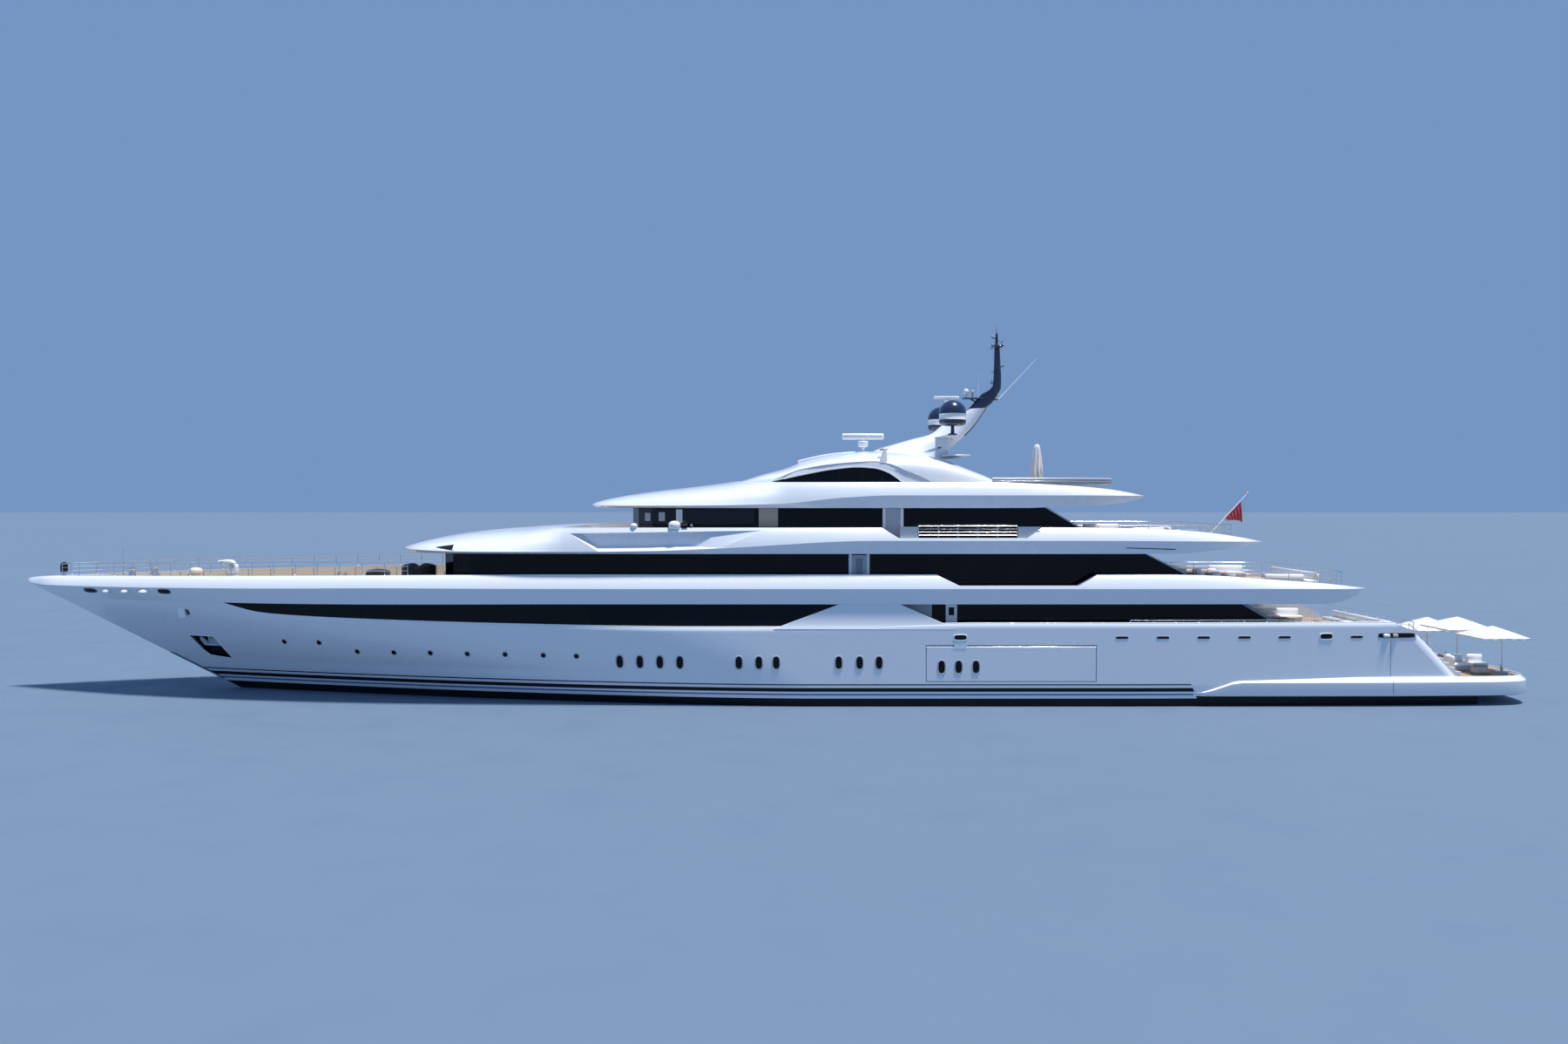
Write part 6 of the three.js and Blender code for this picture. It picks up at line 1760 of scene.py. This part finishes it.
SHAFT_Y, SHAFT_Z, SCREW_X, RUDDER_X = 3.2, -2.7, -37.5, -39.9
SHAFT_FRONT_X, SHAFT_RADIUS, STRUT_LEAN = -22.6, 0.135, 26
PITCH = 2.3
BLADE = [  # radius, chord, skew, thickness
    (0.18, 0.34, 0.0, 0.075), (0.35, 0.5, -0.03, 0.062), (0.55, 0.66, -0.04, 0.048), (0.75, 0.72, 0.0, 0.034),
    (0.92, 0.6, 0.1, 0.022), (1.03, 0.38, 0.2, 0.014), (1.08, 0.16, 0.28, 0.008),
]
HUB = ((0.35, 0.2), (0.25, 0.26), (-0.15, 0.255), (-0.4, 0.19), (-0.52, 0.1))  # x, radius
STRUT = ((0.1, 0.8, 0.15), (1.2, 0.95, 0.33), (2.05, 1.08, 0.48))  # height, fore x, aft x
RUDDER = [  # z, fore x, aft x, half-thickness
    (-1.75, 0.55, -1.25, 0.17), (-2.6, 0.54, -1.24, 0.165), (-3.3, 0.5, -1.15, 0.15),
    (-3.5, 0.42, -1.05, 0.11), (-3.55, 0.3, -0.9, 0.05),
]


def screw_blade(x, y, z, turn, spin):
    """A twisted blade: sections from the hub to the tip, each turned to its pitch."""
    rings = []
    for r, chord, skew, thick in BLADE:
        lean = math.atan(PITCH / (2 * math.pi * r))
        ring = []
        for c, s in circle(16):
            along = chord / 2 * c + skew * 0.5
            across = thick / 2 * s + 0.03 * chord * (1 - c ** 2)
            a = turn + spin * (along * math.cos(lean) - across * math.sin(lean)) / r
            ahead = along * math.sin(lean) + across * math.cos(lean)
            ring.append((x + ahead, y + r * math.sin(a), z + r * math.cos(a)))
        rings.append(ring)
    return skin(rings)


def make_underwater():
    x, z = SCREW_X, SHAFT_Z
    for name, side in SIDES:
        y = side * SHAFT_Y
        hub = [[(x + dx, y + r * c, z + r * s) for c, s in circle(28)] for dx, r in HUB]
        screw = Form().add(BRONZE, skin(hub), *(screw_blade(x + 0.02, y, z, turn, side) for turn in turns(5)))
        screw.make(f"screw_{name}", "bronze", 40, f"propeller_{name}", f"propeller_{name}")

        end = x + 0.353
        line = Form().add(STEEL, tube([(SHAFT_FRONT_X, y, z), (end, y, z)], SHAFT_RADIUS, 20))
        bearing = [(end + dx, y, z) for dx in (0.9, 0.8, 0.15, 0.05)]
        line.add(BOTTOM, tube(bearing, [0.16, 0.235, 0.235, 0.2], 24))
        for lean in (STRUT_LEAN, -STRUT_LEAN):
            c, s = math.cos(math.radians(lean)), math.sin(math.radians(lean))
            rings = []
            for h, fore, aft in STRUT:
                oval = [(mix(aft, fore, 0.5 + 0.5 * u), 0.06 * v) for u, v in circle(18)]
                rings.append([(end + px, y + py * c - h * s, z + py * s + h * c) for px, py in oval])
            line.add(BOTTOM, skin(rings))
        line.make(f"shaft_line_{name}", "steel", 40, replaces=f"shaft_{name}")

        rings = []
        for h, fore, aft, half in RUDDER:
            ring = []
            for t in turns(32):
                share = 0.5 - 0.5 * math.cos(t)
                body = min(half, half * 2.6 * math.sqrt(max(0, share)) * (1 - share) ** 0.9)
                ring.append((RUDDER_X + mix(fore, aft, share), y + math.copysign(body, math.sin(t)), h))
            rings.append(ring)
        blade = Form().add(BOTTOM, skin(rings))
        blade.make(f"rudder_blade_{name}", "antifouling", 40, f"rudder_{name}", f"rudder_{name}")
        dress(f"rudder_stock_{name}", BOTTOM)
        dress(f"stabiliser_{name}", BOTTOM, 0.05)


# Stage

FLOOR_HALF = 90
SKY_COLOUR, SKY_STRENGTH = (0.33, 0.56, 1.0, 1), 0.54
SUN_COLOUR, SUN_ENERGY, SUN_SPREAD = (1.0, 0.97, 0.92), 4.8, 7
SUN_AZIMUTH, SUN_ELEVATION = 250, 77
CAMERA_AT, CAMERA_DOWN, CAMERA_LENS, CAMERA_SENSOR = (-2.4, 74.8, 12.55), 1.23, 26, 36


def make_stage():
    mesh = bpy.data.meshes.new("floor")
    corners = [(sx * FLOOR_HALF, sy * FLOOR_HALF, 0) for sx, sy in ((-1, -1), (1, -1), (1, 1), (-1, 1))]
    mesh.from_pydata(corners, [], [(0, 1, 2, 3)])
    mesh.materials.append(finish_of("floor_pale", (0.12, 0.18, 0.265), 0.7, 0.01, 0.3))
    placed("floor", mesh)

    world = bpy.data.worlds.new("studio")
    bpy.context.scene.world = world
    world.use_nodes = True
    sky = world.node_tree.nodes["Background"]
    sky.inputs["Color"].default_value = SKY_COLOUR
    sky.inputs["Strength"].default_value = SKY_STRENGTH

    # One soft light almost overhead, so that sloping tops are bright and upright sides are not
    key = bpy.data.lights.new("key", "SUN")
    key.energy = SUN_ENERGY
    key.angle = math.radians(SUN_SPREAD)
    key.color = SUN_COLOUR
    placed("key", key).rotation_euler = (math.radians(90 - SUN_ELEVATION), 0, math.radians(SUN_AZIMUTH))


def make_camera():
    data = bpy.data.cameras.new("camera")
    data.lens = CAMERA_LENS
    data.sensor_width = CAMERA_SENSOR
    data.clip_start, data.clip_end = 0.1, 500
    made = placed("camera", data)
    made.location = [K * c for c in CAMERA_AT]
    made.rotation_euler = (math.radians(90 - CAMERA_DOWN), 0, math.pi)
    bpy.context.scene.camera = made


bpy.context.scene.view_settings.view_transform = "Standard"
make_camera()
make_stage()
make_hull()
make_shells()
make_main_house()
make_dome()
make_hull_fittings()
make_window_frames()
make_decks()
make_deck_seats()
make_rails()
make_mast()
make_radars()
make_domes()
make_foredeck()
draped("deck_cover_aft", "deck_box_aft", (20.9, 2.6), (1.98, 1.68, 1.55), 1, 17)
draped("deck_cover_forward", "deck_box_forward", (23.5, 2.6), (1.38, 1.28, 1.15), 0, 13)
make_parasols()
make_ensign()
make_stern()
make_underwater()
for node in ("upper_deck_house", "bridge_deck_house"):
    dress(node, GLASS, 0.03)
dress("wheelhouse_glass", TINTED)
for name, _ in SIDES:
    dress(f"garage_door_{name}", WHITE)
    dress(f"stern_stairs_{name}", WHITE, 0.02)
